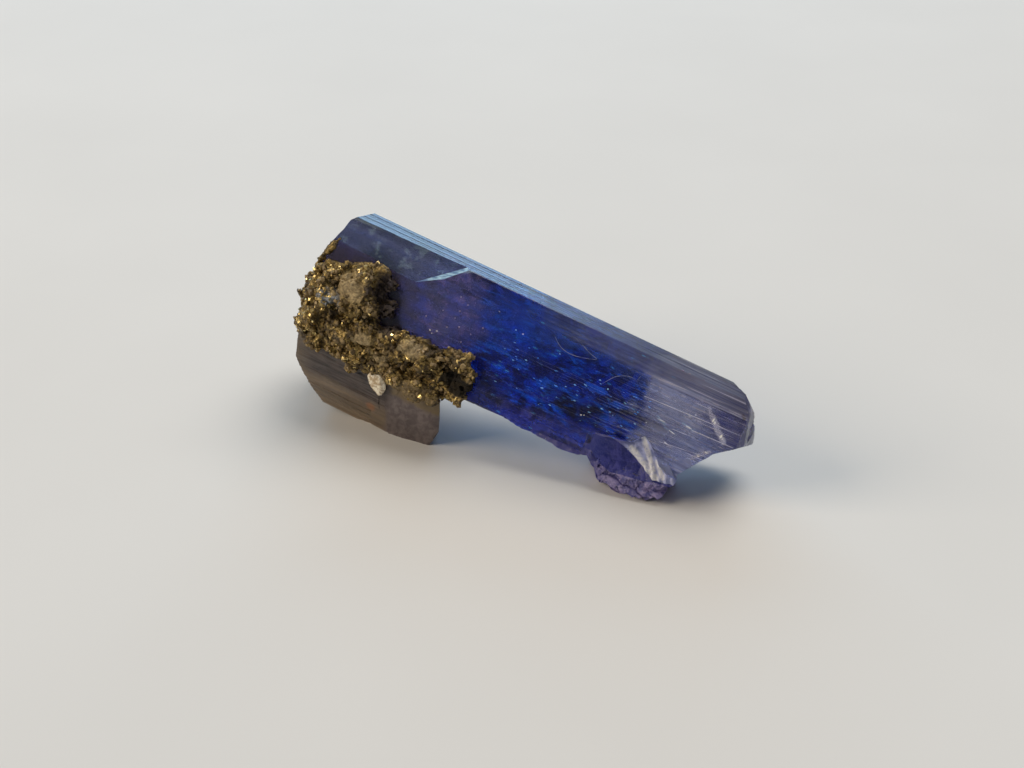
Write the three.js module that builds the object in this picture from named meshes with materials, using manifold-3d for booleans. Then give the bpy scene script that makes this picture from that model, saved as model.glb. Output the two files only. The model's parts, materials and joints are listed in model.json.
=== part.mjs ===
// Rough tanzanite: one striated prism crystal, broken at both ends, with a crust of brassy matrix
// and a pair of smoky side crystals grown on its left end. It lies on its side, the clear end lower.
//
// Every solid is drawn in the crystal's own frame: x along the prism towards the clear end, y towards
// the back, z up, with the middle of the left break at the origin. The specimen group then tips that
// frame into the pose in which the stone rests, and sets it on z = 0.
// Lengths are in millimetres.

import * as THREE from "three";
import { ConvexGeometry } from "three/addons/geometries/ConvexGeometry.js";
import { mergeVertices } from "three/addons/utils/BufferGeometryUtils.js";
import Module from "manifold-3d";

// ---- Driving dimensions -------------------------------------------------------------------------

const CRYSTAL_LENGTH = 29.2;
const LEFT_SCALE = 1.03; // the prism tapers a little from the left break...
const RIGHT_SCALE = 0.88; // ...to the clear end
const TILT = THREE.MathUtils.degToRad(12); // the clear end lies lower by this angle
const AXIS_HEIGHT = 8.9; // of the left break's middle above the surface

// The prism's corners as [y, z], going round from the lower front edge by way of the top.
const CORNERS = {
  lowerFront: [-3.1, -2.8],
  frontBevel: [-0.6, 3.2],
  bevelTop: [0.35, 3.95],
  topBack: [2.0, 3.7],
  back: [3.7, 0.8],
  lowerBack: [2.9, -2.5],
  keel: [0.4, -3.2],
};

// The growth striations on each prism face: how many flat strips, and how far they stand in or out.
const FACES = [
  { from: "lowerFront", to: "frontBevel", strips: 19, relief: 0.07 },
  { from: "frontBevel", to: "bevelTop", strips: 4, relief: 0.06 },
  { from: "bevelTop", to: "topBack", strips: 7, relief: 0.09 },
  { from: "topBack", to: "back", strips: 11, relief: 0.09 },
  { from: "back", to: "lowerBack", strips: 11, relief: 0.08 },
  { from: "lowerBack", to: "keel", strips: 5, relief: 0.05 },
  { from: "keel", to: "lowerFront", strips: 6, relief: 0.05 },
];

const STRIP_SLOPE = 0.06; // share of a strip's width that the slope on each side of it takes

// The crust: how deep its bed on the front face is, and the grains that stud its masses.
const BED_DEPTH = 0.7;
const GRAINS_PER_MM = 2.2; // for each millimetre of a mass's three radii
const GRAIN_SEAT = 0.88; // how far out on the mass a grain sits, as a share of the radius
const GRAIN_SIZE = [0.22, 0.52];

const SEAT_GAP = 0.3; // between solids that touch
const CUTTER = 60; // side of the blocks that cut flat faces
const GOLDEN_ANGLE = Math.PI * (3 - Math.sqrt(5));

// ---- Solids and cutters -------------------------------------------------------------------------

const wasm = await Module();
wasm.setup();

// Repeatable random numbers from 0 to 1.
function randomFrom(seed) {
  let state = seed;
  return () => {
    state = (state * 1664525 + 1013904223) >>> 0;
    return state / 4294967296;
  };
}

// A closed geometry as a solid that can be joined and cut.
function solidOf(geometry) {
  const bare = geometry.clone();
  for (const name of Object.keys(bare.attributes)) {
    if (name !== "position") bare.deleteAttribute(name);
  }
  const merged = mergeVertices(bare, 1e-4);
  return new wasm.Manifold(
    new wasm.Mesh({
      numProp: 3,
      vertProperties: new Float32Array(merged.attributes.position.array),
      triVerts: new Uint32Array(merged.index.array),
    }),
  );
}

// A solid as a flat-shaded geometry.
function geometryOf(solid) {
  const mesh = solid.getMesh();
  const position = new Float32Array(mesh.numVert * 3);
  for (let i = 0; i < mesh.numVert; i++) {
    const start = i * mesh.numProp;
    position.set(mesh.vertProperties.subarray(start, start + 3), i * 3);
  }
  const indexed = new THREE.BufferGeometry();
  indexed.setAttribute("position", new THREE.BufferAttribute(position, 3));
  indexed.setIndex(new THREE.BufferAttribute(new Uint32Array(mesh.triVerts), 1));
  const geometry = indexed.toNonIndexed();
  geometry.computeVertexNormals();
  return geometry;
}

// Everything on the side of a plane that its normal points to. The plane can be moved out along it.
function beyond(point, normal, out = 0) {
  const direction = new THREE.Vector3(...normal).normalize();
  const block = new THREE.BoxGeometry(CUTTER, CUTTER, CUTTER);
  const turn = new THREE.Quaternion().setFromUnitVectors(new THREE.Vector3(0, 0, 1), direction);
  block.applyQuaternion(turn);
  block.translate(...direction.multiplyScalar(CUTTER / 2 + out).add(new THREE.Vector3(...point)));
  return solidOf(block);
}

// A flat-faced pebble: the hull of points spread unevenly over an ellipsoid.
function pebble(centre, radii, corners, random) {
  const points = [];
  for (let i = 0; i < corners; i++) {
    const up = 1 - (2 * (i + 0.5)) / corners;
    const around = i * GOLDEN_ANGLE + 0.9 * random();
    const ring = Math.sqrt(1 - up * up);
    const reach = 0.85 + 0.3 * random();
    points.push(
      new THREE.Vector3(
        centre[0] + radii[0] * reach * ring * Math.cos(around),
        centre[1] + radii[1] * reach * ring * Math.sin(around),
        centre[2] + radii[2] * reach * up,
      ),
    );
  }
  return solidOf(new ConvexGeometry(points));
}

// The hull of a few corners, for shards and blocks.
function shard(...corners) {
  return solidOf(new ConvexGeometry(corners.map((corner) => new THREE.Vector3(...corner))));
}

// A small cube, the habit of pyrite, turned to its own angle.
function cube(centre, side, random) {
  const block = new THREE.BoxGeometry(side, side * (0.8 + 0.5 * random()), side);
  block.applyMatrix4(
    new THREE.Matrix4().makeRotationFromEuler(
      new THREE.Euler(random() * Math.PI, random() * Math.PI, random() * Math.PI),
    ),
  );
  block.translate(...centre);
  return solidOf(block);
}

const union = (solids) => solids.reduce((sum, solid) => sum.add(solid));
const without = (solid, cutters) => cutters.reduce((rest, cutter) => rest.subtract(cutter), solid);

// The largest connected body of a solid.
function mainBody(solid) {
  return solid.decompose().reduce((most, body) => (body.volume() > most.volume() ? body : most));
}

// ---- The tanzanite crystal ----------------------------------------------------------------------

// The prism's outline, with each face broken into flat strips that stand in and out by turns.
function prismOutline(grow) {
  const random = randomFrom(7);
  const points = [];
  for (const { from, to, strips, relief } of FACES) {
    const start = new THREE.Vector2(...CORNERS[from]);
    const along = new THREE.Vector2(...CORNERS[to]).sub(start);
    const out = new THREE.Vector2(-along.y, along.x).normalize();
    const widths = Array.from({ length: strips }, () => 0.5 + random());
    const whole = widths.reduce((sum, width) => sum + width);
    let done = 0;
    widths.forEach((width, i) => {
      const side = i % 2 ? -1 : 1;
      const depth = grow ? grow : side * relief * (0.3 + 0.7 * random());
      for (const share of [STRIP_SLOPE, 1 - STRIP_SLOPE]) {
        const way = (done + share * width) / whole;
        points.push(start.clone().addScaledVector(along, way).addScaledVector(out, depth));
      }
      done += width;
    });
  }
  return points;
}

// The uncut prism. grow makes it larger all round, for the room it takes in its neighbours.
function prism(grow = 0) {
  const extra = grow ? 2 : 1;
  const shape = new THREE.Shape(prismOutline(grow).map(({ x, y }) => new THREE.Vector2(x, y)));
  const geometry = new THREE.ExtrudeGeometry(shape, {
    depth: CRYSTAL_LENGTH + 2 * extra,
    bevelEnabled: false,
  });
  // The extrusion runs along z with the outline in x and y: turn it to run along x.
  const position = geometry.getAttribute("position");
  for (let i = 0; i < position.count; i++) {
    const x = position.getZ(i) - extra;
    const scale = THREE.MathUtils.mapLinear(x, 0, CRYSTAL_LENGTH, LEFT_SCALE, RIGHT_SCALE);
    position.setXYZ(i, x, position.getX(i) * scale, position.getY(i) * scale);
  }
  return solidOf(geometry);
}

// The left break and what the matrix has taken of the crystal there. out moves each face outwards.
function leftCuts(out = 0) {
  return [
    beyond([0, 0, 0], [-1, -0.3, 0.12], out),
    beyond([-0.1, 0, 0.8], [-1, -0.1, 0.42], out), // the upper half leans in
    beyond([1.3, 1.2, 3.6], [-1, 0.3, 1.1], out), // the upper corner
    beyond([2.6, -2.4, -2.4], [-0.6, -0.55, -0.6], out), // the lower front corner
  ];
}

// The faces that end the prism at its clear end.
function clearCuts() {
  return [
    beyond([CRYSTAL_LENGTH, 0, 0], [1, 0.1, 0.15]),
    beyond([28.1, 1.0, 3.2], [1, 0.3, 0.8]), // its upper corners
    beyond([26.8, 1.9, 3.2], [0.69, 1, 0.7]),
    beyond([26.25, -2.83, -2.0], [1, -0.54, -0.31]), // its front corner
    beyond([27.75, 1.0, -0.9], [1.1, -0.2, -1]), // its underside
  ];
}

// The facet that takes the bevel off the left third, with a narrow step where the bevel begins.
// out moves both outwards.
function shoulderCut(out = 0) {
  const facet = beyond([7, 0.35, 3.9], [0, -0.86, 0.51], out);
  const step = beyond([8.0, -0.6, 3.2], [-0.59, 0.26, 0.76], out);
  return facet.intersect(step);
}

// Scallops and nicks of broken crystal, along the lower front edge and under the stone.
function fractureCuts() {
  const random = randomFrom(31);
  const scallop = (centre, radii) => pebble(centre, radii, 26, random);
  const nicks = [
    [13.2, 0.35],
    [15.4, 0.5],
    [16.9, 0.4],
    [18.6, 0.65],
    [20.0, 0.5],
  ].map(([x, size]) => scallop([x, -3.15, -3.0], [size * 1.6, size, size]));
  return [
    ...nicks,
    scallop([22.6, -3.7, -1.9], [2.2, 1.5, 1.2]), // the hollow at the lower right
    scallop([24.8, -3.6, -1.7], [1.2, 1.1, 1.4]),
    scallop([9.5, 1.5, -4.6], [5, 3, 2.1]), // underside
    scallop([15.4, -0.2, -4.5], [3.4, 2.4, 1.9]),
    scallop([18.6, 2.6, -4.0], [3.0, 2.2, 2.2]),
    scallop([22.4, 3.6, -2.6], [2.6, 1.3, 1.6]),
    scallop([10, 4.6, 1.2], [2.6, 1.2, 1.5]), // chips off the back edge
    scallop([16.2, 4.2, -0.6], [1.5, 0.8, 1.2]),
    scallop([24.5, 4.0, 1.4], [1.8, 0.9, 0.9]),
    scallop([29.6, 1.4, 1.2], [0.9, 1.6, 1.2]), // the clear end
    scallop([1.2, 3.2, 3.4], [1.6, 1.0, 1.0]), // the left break's upper back corner
  ];
}

// The ragged shelf under the clear end, which the stone rests on.
function restingShelf() {
  return union([
    shard(
      [21.3, -2.9, -2.6],
      [21.6, -3.1, -3.6],
      [22.4, -3.0, -4.7],
      [24.95, -2.9, -4.2],
      [26.0, -1.3, -3.9],
      [26.3, -2.6, -2.1],
      [24.0, -2.8, -2.0],
      [22.0, 1.2, -4.9],
      [25.4, 1.4, -4.4],
      [21.2, 1.0, -2.4],
      [26.0, 1.6, -2.0],
    ),
    shard(
      [17.9, -2.9, -2.5],
      [19.4, -3.1, -2.75],
      [20.7, -3.2, -2.85],
      [21.4, -2.9, -2.3],
      [18.6, -1.4, -2.9],
      [21.0, -1.2, -3.2],
    ),
    shard(
      [20.9, -2.9, -2.5],
      [21.2, -3.3, -3.2],
      [22.6, -3.4, -3.6],
      [23.2, -2.8, -2.6],
      [21.4, -1.2, -3.9],
      [20.9, -1.0, -2.6],
      [23.0, -1.0, -3.6],
    ),
    shard(
      [23.9, -3.2, -2.8],
      [24.2, -3.2, -3.7],
      [25.0, -3.1, -3.6],
      [26.2, -2.6, -2.3],
      [25.3, -2.8, -2.1],
      [24.3, -1.0, -4.2],
      [25.8, -1.0, -3.0],
    ),
  ]);
}

function tanzaniteCrystal() {
  const cuts = [...leftCuts(), ...clearCuts(), shoulderCut(), ...fractureCuts()];
  const broken = without(prism(), cuts);
  return mainBody(broken.add(restingShelf()));
}

// ---- The side crystals --------------------------------------------------------------------------

const LAYERS = 7; // growth layers of the striated block, one under the other
const LAYER_PITCH = 0.68;
const LAYER_HEIGHT = 0.75; // they overlap a little
const BLOCK = { top: -3.1, front: -3.05, back: 0.4, left: 0.25, right: 7.0 };

// One layer of the block. The middle ones bulge to the front, every other one stands out as a ridge
// there, and the lower ones end further from the left break.
function blockLayer(i, random) {
  const bulge = 0.5 * Math.sin(((i + 0.6) / LAYERS) * Math.PI);
  const ridge = 0.12 * (i % 2);
  const front = BLOCK.front - bulge - ridge;
  const back = BLOCK.back;
  const left = BLOCK.left + 0.3 * random() + 0.12 * Math.max(0, i - 2) ** 2;
  const right = BLOCK.right + 0.4 * random() + 0.08 * i;
  const top = BLOCK.top - i * LAYER_PITCH;
  const under = top - LAYER_HEIGHT;
  return shard(
    [left, front + 0.2, top],
    [right, front, top + 0.1],
    [right + 0.1, front + 0.25, under],
    [left + 0.2, front + 0.4, under],
    [left, back, top],
    [right - 0.5, back, top + 0.1],
    [right - 0.4, back - 0.2, under],
    [left + 0.3, back - 0.2, under],
  );
}

// A striated block that lies along the prism, and a squarer crystal beside it that serves as a foot,
// with a notch between them.
function sideCrystals() {
  const random = randomFrom(53);
  const block = union(Array.from({ length: LAYERS }, (_, i) => blockLayer(i, random)));
  const foot = shard(
    [7.3, -3.4, -3.4],
    [7.5, -3.7, -5.2],
    [8.1, -3.6, -7.6],
    [8.9, -3.65, -7.6],
    [10.9, -3.6, -7.0],
    [11.4, -3.4, -5.6],
    [11.1, -3.4, -3.5],
    [10.4, -3.0, -3.0],
    [7.4, -0.3, -3.4],
    [7.6, -0.6, -7.6],
    [9.9, -1.2, -7.0],
    [9.6, -1.0, -3.2],
  );
  const notch = shard(
    [7.3, -5, -3.0],
    [8.0, -5, -3.0],
    [7.7, -3.2, -8],
    [7.5, -3.1, -3],
    [8.3, -5, -8],
    [7.6, -5, -8],
  );
  return block.add(foot).subtract(notch);
}

// ---- The matrix crust ---------------------------------------------------------------------------

// The crust's main masses: centre, radii.
const MASSES = [
  // over the front face
  [[1.9, -1.8, 1.2], [1.1, 0.9, 1.0]],
  [[3.9, -1.6, 1.9], [1.7, 0.85, 1.0]],
  [[1.8, -2.4, -0.3], [1.2, 1.0, 1.4]],
  [[4.0, -2.3, 0.3], [1.8, 0.95, 1.4]],
  [[1.6, -3.0, -2.3], [1.3, 0.9, 1.3]],
  [[4.4, -3.0, -1.7], [2.2, 0.9, 1.2]],
  [[7.4, -2.9, -1.3], [2.1, 0.85, 1.0]],
  [[9.4, -2.9, -1.0], [1.9, 0.8, 0.8]],
  [[11.8, -2.7, -0.5], [1.3, 0.75, 0.6]],
  [[11.7, -3.2, -2.4], [1.1, 0.7, 0.5]],
  // small lumps along the edge on the front face
  [[5.4, -1.6, 1.7], [0.7, 0.6, 0.55]],
  [[5.6, -2.0, 0.3], [0.7, 0.65, 0.8]],
  [[6.8, -2.6, -0.6], [0.9, 0.6, 0.5]],
  [[8.9, -2.4, -0.2], [0.7, 0.5, 0.4]],
  // above the side crystals
  [[9.2, -3.4, -2.9], [2.2, 0.8, 0.8]],
  [[4.4, -3.5, -3.0], [3.2, 0.6, 0.6]],
  // on the left break
  [[0.7, -2.0, -2.2], [0.9, 1.4, 2.0]],
  [[0.3, -0.6, -1.1], [1.0, 1.9, 1.6]],
  [[0.4, 1.2, -0.5], [1.0, 1.5, 1.2]],
  [[-0.2, 1.0, -2.6], [1.2, 2.4, 2.4]],
  // underneath and round the back
  [[3.2, -1.2, -4.4], [3.0, 2.4, 1.6]],
  [[7.8, -1.6, -3.4], [2.6, 1.6, 1.1]],
  [[2.0, 1.6, -5.4], [2.2, 1.9, 3.7]],
  [[4.6, 1.9, -5.2], [2.4, 1.8, 3.4]],
  [[3.0, 3.2, -1.6], [2.4, 1.0, 2.2]],
];

// The low bed of crust on the front face, as two convex outlines in x and z.
const BED = [
  [
    [0.5, 1.0],
    [1.4, 2.2],
    [3.6, 2.7],
    [5.0, 2.5],
    [5.5, 0.4],
    [5.4, -2.4],
    [0.8, -2.6],
    [0.5, -1.0],
  ],
  [
    [1.0, -2.7],
    [0.8, -1.5],
    [5.0, -0.5],
    [11.3, -0.5],
    [12.5, -0.9],
    [12.6, -1.8],
    [10.5, -2.6],
  ],
];

// Hollows in the crust's outside: centre, radii.
const PITS = [
  [[11.9, -3.7, -1.5], [1.1, 0.8, 0.6]],
  [[3.2, -3.5, 0.2], [0.7, 0.6, 0.5]],
  [[0.8, -3.6, -1.2], [0.6, 0.6, 0.5]],
  [[6.2, -4.2, -2.2], [0.8, 0.5, 0.4]],
  [[8.6, -4.1, -1.2], [0.6, 0.5, 0.4]],
  [[5.6, -3.3, 0.4], [0.5, 0.6, 0.9]],
];

// How far forward the front face stands at a height.
function frontFaceAt(z) {
  const [lower, upper] = [CORNERS.lowerFront, CORNERS.frontBevel];
  return THREE.MathUtils.mapLinear(z, lower[1], upper[1], lower[0], upper[0]);
}

function matrixCrust(neighbours) {
  const random = randomFrom(97);
  const solids = MASSES.map(([centre, radii]) => pebble(centre, radii, 20, random));
  for (const outline of BED) {
    const layer = (depth) => outline.map(([x, z]) => [x, frontFaceAt(z) - depth, z]);
    solids.push(shard(...layer(0), ...layer(BED_DEPTH)));
  }
  // Grains and small pyrite cubes stud the outside of every mass.
  for (const [centre, radii] of MASSES) {
    const grains = Math.round(GRAINS_PER_MM * (radii[0] + radii[1] + radii[2]));
    for (let i = 0; i < grains; i++) {
      const around = random() * 2 * Math.PI;
      const up = 2 * random() - 1;
      const ring = Math.sqrt(1 - up * up);
      const seat = [ring * Math.cos(around), ring * Math.sin(around), up];
      const place = centre.map((value, axis) => value + GRAIN_SEAT * radii[axis] * seat[axis]);
      const size = THREE.MathUtils.lerp(...GRAIN_SIZE, random());
      solids.push(
        i % 3
          ? pebble(place, [size * 1.3, size, size * 0.9], 10, random)
          : cube(place, size * 1.25, random),
      );
    }
  }
  const pits = PITS.map(([centre, radii]) => pebble(centre, radii, 12, random));
  return mainBody(without(union(solids), [...pits, ...neighbours]));
}

// ---- Assembly -----------------------------------------------------------------------------------

// What lies under the surface the stone rests on, in the crystal's frame.
function underSurface() {
  const down = [Math.sin(TILT), 0, -Math.cos(TILT)];
  return beyond([0, 0, 0], down, AXIS_HEIGHT);
}

const ground = underSurface();
const crystal = tanzaniteCrystal().subtract(ground);
const crystalRoom = without(prism(SEAT_GAP), [...leftCuts(SEAT_GAP), shoulderCut(SEAT_GAP)]);
const sides = mainBody(without(sideCrystals(), [crystalRoom, ground]));
const sidesRoom = union([
  sides,
  sides.translate(0, -SEAT_GAP, 0),
  sides.translate(0, SEAT_GAP, SEAT_GAP),
]);
const crust = matrixCrust([crystalRoom, sidesRoom, ground]);

function node(name, solid, material) {
  const mesh = new THREE.Mesh(geometryOf(solid), new THREE.MeshStandardMaterial(material));
  mesh.name = name;
  return mesh;
}

const specimen = new THREE.Group();
specimen.rotation.y = TILT;
specimen.add(
  node("tanzanite_crystal", crystal, { color: 0x3c3fa6, roughness: 0.2, metalness: 0 }),
  node("side_crystals", sides, { color: 0x766a66, roughness: 0.35, metalness: 0 }),
  node("matrix_crust", crust, { color: 0x7d6535, roughness: 0.55, metalness: 0.45 }),
);

// The origin is under the middle of the stone, on the surface it rests on.
const stone = new THREE.Group();
stone.add(specimen);
specimen.updateMatrixWorld(true);
const extent = new THREE.Box3().setFromObject(specimen, true);
const middle = extent.getCenter(new THREE.Vector3());
specimen.position.set(-middle.x, -middle.y, -extent.min.z);

export default stone;
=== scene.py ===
import json
import math
import random

import bmesh
import bpy
import numpy as np
from mathutils import Matrix, Vector, noise
from mathutils.bvhtree import BVHTree

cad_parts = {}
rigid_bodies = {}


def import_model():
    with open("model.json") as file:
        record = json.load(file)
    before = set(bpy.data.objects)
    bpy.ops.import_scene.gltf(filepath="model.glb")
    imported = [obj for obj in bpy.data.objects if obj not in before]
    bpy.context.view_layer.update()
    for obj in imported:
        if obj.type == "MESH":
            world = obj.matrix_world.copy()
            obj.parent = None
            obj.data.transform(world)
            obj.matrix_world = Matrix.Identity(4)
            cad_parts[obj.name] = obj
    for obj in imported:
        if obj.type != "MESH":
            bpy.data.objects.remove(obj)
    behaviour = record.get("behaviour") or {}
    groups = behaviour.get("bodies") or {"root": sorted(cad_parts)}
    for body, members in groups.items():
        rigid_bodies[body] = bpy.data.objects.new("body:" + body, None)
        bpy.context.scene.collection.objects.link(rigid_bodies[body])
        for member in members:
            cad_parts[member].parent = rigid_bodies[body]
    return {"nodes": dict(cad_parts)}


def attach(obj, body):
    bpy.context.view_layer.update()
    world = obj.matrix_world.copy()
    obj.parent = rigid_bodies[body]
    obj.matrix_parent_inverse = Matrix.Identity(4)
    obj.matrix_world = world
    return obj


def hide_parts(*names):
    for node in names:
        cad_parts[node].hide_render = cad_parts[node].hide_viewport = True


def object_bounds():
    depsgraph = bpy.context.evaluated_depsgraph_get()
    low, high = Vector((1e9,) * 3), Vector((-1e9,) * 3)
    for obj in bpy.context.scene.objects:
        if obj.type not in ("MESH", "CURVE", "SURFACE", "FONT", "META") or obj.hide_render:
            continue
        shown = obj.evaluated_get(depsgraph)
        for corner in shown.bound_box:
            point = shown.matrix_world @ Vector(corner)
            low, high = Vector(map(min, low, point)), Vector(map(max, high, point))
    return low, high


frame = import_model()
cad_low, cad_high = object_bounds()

# A rough tanzanite: one striated prism crystal with brassy matrix and smoky side crystals grown on
# its left end. Every shape is drawn in millimetres in the crystal's own frame (x along the prism
# towards the clear end, y to the back, z up, the middle of the left break at the origin) and is
# then set in the pose in which the stone rests.

MM = 0.001
TILT = math.radians(12)
LEFT_BREAK = Vector((-13.338, 0.005, 8.9))
TO_WORLD = Matrix.Scale(MM, 4) @ Matrix.Translation(LEFT_BREAK) @ Matrix.Rotation(TILT, 4, "Y")
TO_CRYSTAL = TO_WORLD.inverted()
NOISE_SEED = 29
noise.seed_set(NOISE_SEED)  # without a seed, the vector noise changes from run to run

# ---- Sizes of the prism -------------------------------------------------------------------------

LENGTH = 29.2
LEFT_SCALE = 1.03
RIGHT_SCALE = 0.88
OVERRUN = 1.0  # how far the uncut prism runs past both of its ends
STATIONS = 110

CORNERS = {
    "lower_front": (-3.1, -2.8),
    "front_bevel": (-0.6, 3.2),
    "bevel_top": (0.35, 3.95),
    "top_back": (2.0, 3.7),
    "back": (3.7, 0.8),
    "lower_back": (2.9, -2.5),
    "keel": (0.4, -3.2),
}

# Each prism face: from corner, to corner, how many growth striations, how far the boldest of them
# stand out, and what share of that is left at the deep blue end.
PRISM_FACES = [
    ("lower_front", "front_bevel", 78, 0.034, 0.14),
    ("front_bevel", "bevel_top", 10, 0.010, 0.5),
    ("bevel_top", "top_back", 16, 0.024, 0.9),
    ("top_back", "back", 38, 0.09, 0.8),
    ("back", "lower_back", 38, 0.08, 0.8),
    ("lower_back", "keel", 18, 0.05, 0.8),
    ("keel", "lower_front", 24, 0.05, 0.8),
]
CLEAR_FROM = 20.5  # where the striations start to grow bolder
CLEAR_TO = 23.5
STRIP_SLOPE = 0.22  # share of a striation's width that the slope on each side of it takes
FRONT_SLOPE = 2.5 / 6.0  # how far the front face leans back for each millimetre of height
FRONT_AT_AXIS = -1.933  # the front face's y at z = 0, before the taper


# ---- Meshes -------------------------------------------------------------------------------------


def linked(name, mesh):
    made = bpy.data.objects.new(name, mesh)
    bpy.context.scene.collection.objects.link(made)
    return made


def object_of(name, bm):
    mesh = bpy.data.meshes.new(name)
    bm.to_mesh(mesh)
    bm.free()
    return linked(name, mesh)


def baked(body):
    """Turns what the object's modifiers make into its own mesh."""
    evaluated = body.evaluated_get(bpy.context.evaluated_depsgraph_get())
    mesh = bpy.data.meshes.new_from_object(evaluated)
    body.modifiers.clear()
    body.data = mesh
    return body


def combined(body, operation, others):
    """Joins the others to the body, or cuts them from it, and uses them up."""
    for other in others:
        step = body.modifiers.new(operation, "BOOLEAN")
        step.solver = "MANIFOLD"
        step.operation = operation
        step.object = other
    baked(body)
    for other in others:
        bpy.data.objects.remove(other)
    return body


def points_of(mesh):
    flat = np.empty(len(mesh.vertices) * 3)
    mesh.vertices.foreach_get("co", flat)
    return flat.reshape(-1, 3)


def set_points(mesh, points):
    mesh.vertices.foreach_set("co", np.asarray(points, float).ravel())
    mesh.update()


def tree_of(body):
    """A search tree over the object's faces."""
    bm = bmesh.new()
    bm.from_mesh(body.data)
    tree = BVHTree.FromBMesh(bm)
    bm.free()
    return tree


def cad_copy(node):
    """A merged copy of a CAD node's mesh, in the crystal's frame."""
    bm = bmesh.new()
    bm.from_mesh(frame["nodes"][node].data)
    bm.transform(TO_CRYSTAL)
    bmesh.ops.remove_doubles(bm, verts=bm.verts, dist=0.0005)
    return object_of(node + "_copy", bm)


def fractal(point, size, octaves=3):
    """Smooth noise from about -1 to 1 whose main waves are about size long."""
    return noise.fractal(point / size, 1.0, 2.0, octaves)


def in_place(body, sharp_degrees):
    """Sets a finished shape in the resting pose, in metres, inside the CAD model's box."""
    mesh = body.data
    mesh.transform(TO_WORLD)
    set_points(mesh, np.clip(points_of(mesh), cad_low, cad_high))
    mesh.shade_smooth()
    mesh.set_sharp_from_angle(angle=math.radians(sharp_degrees))
    return body


def finished(body, name, slot, *materials):
    """Names a piece, gives it its materials and lets it ride on the stone."""
    body.name = name
    body.data.name = name
    body.data.materials.clear()
    for material in materials:
        body.data.materials.append(material)
    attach(body, "root")
    return body


# ---- Cutters ------------------------------------------------------------------------------------


def close_behind(bm, axis, far):
    """Closes an open sheet with walls from its rim to far along an axis, and a cap there.

    The faces are made in a fixed order, where Blender's extrude and fill give one that can change
    from run to run.
    """
    beside = {}
    for edge in bm.edges:
        if edge.is_boundary:
            first, second = edge.verts
            beside.setdefault(first, []).append(second)
            beside.setdefault(second, []).append(first)
    start = next(iter(beside))
    rim = [start, beside[start][0]]
    while True:
        ahead = next(vertex for vertex in beside[rim[-1]] if vertex != rim[-2])
        if ahead == start:
            break
        rim.append(ahead)
    far_rim = []
    for vertex in rim:
        place = vertex.co.copy()
        place[axis] = far
        far_rim.append(bm.verts.new(place))
    for k in range(len(rim)):
        bm.faces.new([rim[k - 1], rim[k], far_rim[k], far_rim[k - 1]])
    bm.faces.new(far_rim)
    bmesh.ops.recalc_face_normals(bm, faces=bm.faces)


def break_cutter(point, normal, relief=0.12, ripple=0.03, seed=0, half=8.0, cells=80):
    """A block beyond a plane. Its near side is a break: uneven, with rings around a strike point."""
    bm = bmesh.new()
    bmesh.ops.create_grid(bm, x_segments=cells, y_segments=cells, size=half)
    shift = Vector((seed * 7.3, seed * 3.1, seed * 1.7))
    strike = Vector((half * 0.4 * math.cos(seed), half * 0.4 * math.sin(seed), 0))
    for vertex in bm.verts:
        rings = math.sin((vertex.co - strike).length * 7.0 + 2.0 * fractal(vertex.co + shift, 2.0))
        uneven = relief * fractal(vertex.co + shift, 2.6, 4)
        vertex.co.z = uneven + ripple * rings * max(0.0, fractal(vertex.co - shift, 3.5))
    close_behind(bm, 2, 2.5 * half)
    turn = Vector(normal).to_track_quat("Z", "Y").to_matrix().to_4x4()
    bm.transform(Matrix.Translation(point) @ turn)
    return object_of("break_cutter", bm)


def scallop_cutter(centre, radii, seed, detail=5, relief=0.14, ripple=0.035, drop=0.0):
    """An uneven ball that leaves a shell-shaped hollow with ripples. drop leans it to the right."""
    bm = bmesh.new()
    bmesh.ops.create_icosphere(bm, subdivisions=detail, radius=1.0)
    shift = Vector((seed * 2.7, seed * 5.9, seed * 4.3))
    strike = Vector((math.cos(seed), math.sin(seed), 0.4)).normalized()
    for vertex in bm.verts:
        out = vertex.co.normalized()
        rings = math.sin(14.0 * out.angle(strike) + 3.0 * fractal(out + shift, 1.2))
        reach = 1.0 + relief * fractal(out + shift, 0.8, 4) + ripple * rings
        vertex.co = Vector(radii) * out * reach
    bm.transform(Matrix.Translation(centre) @ Matrix.Rotation(math.radians(drop), 4, "Y"))
    return object_of("scallop_cutter", bm)


def rough_shard(corners, seed, relief=0.07, cuts=3, size=0.9):
    """The hull of a few corners, with every face and edge made uneven."""
    bm = bmesh.new()
    for corner in corners:
        bm.verts.new(corner)
    hull = bmesh.ops.convex_hull(bm, input=bm.verts)
    inside = [item for item in hull["geom_interior"] if isinstance(item, bmesh.types.BMVert)]
    bmesh.ops.delete(bm, geom=inside, context="VERTS")
    bmesh.ops.triangulate(bm, faces=bm.faces)
    for _ in range(cuts):
        bmesh.ops.subdivide_edges(bm, edges=bm.edges, cuts=1, use_grid_fill=True)
    bmesh.ops.triangulate(bm, faces=bm.faces)
    bm.normal_update()
    shift = Vector((seed * 3.3, seed * 8.1, seed * 2.9))
    for vertex in bm.verts:
        vertex.co += vertex.normal * relief * fractal(vertex.co + shift, size, 4)
    return object_of("shard", bm)


def ground_cutter():
    """What lies under the surface the stone rests on."""
    bm = bmesh.new()
    bmesh.ops.create_cube(bm, size=80.0, matrix=Matrix.Translation((0, 0, -40.0)))
    bm.transform(TO_CRYSTAL @ Matrix.Scale(MM, 4))
    return object_of("ground_cutter", bm)


# ---- The tanzanite crystal ----------------------------------------------------------------------


def taper(along):
    """The prism's size at a place along it, as a share of its nominal outline."""
    return LEFT_SCALE + (RIGHT_SCALE - LEFT_SCALE) * along / LENGTH


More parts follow.
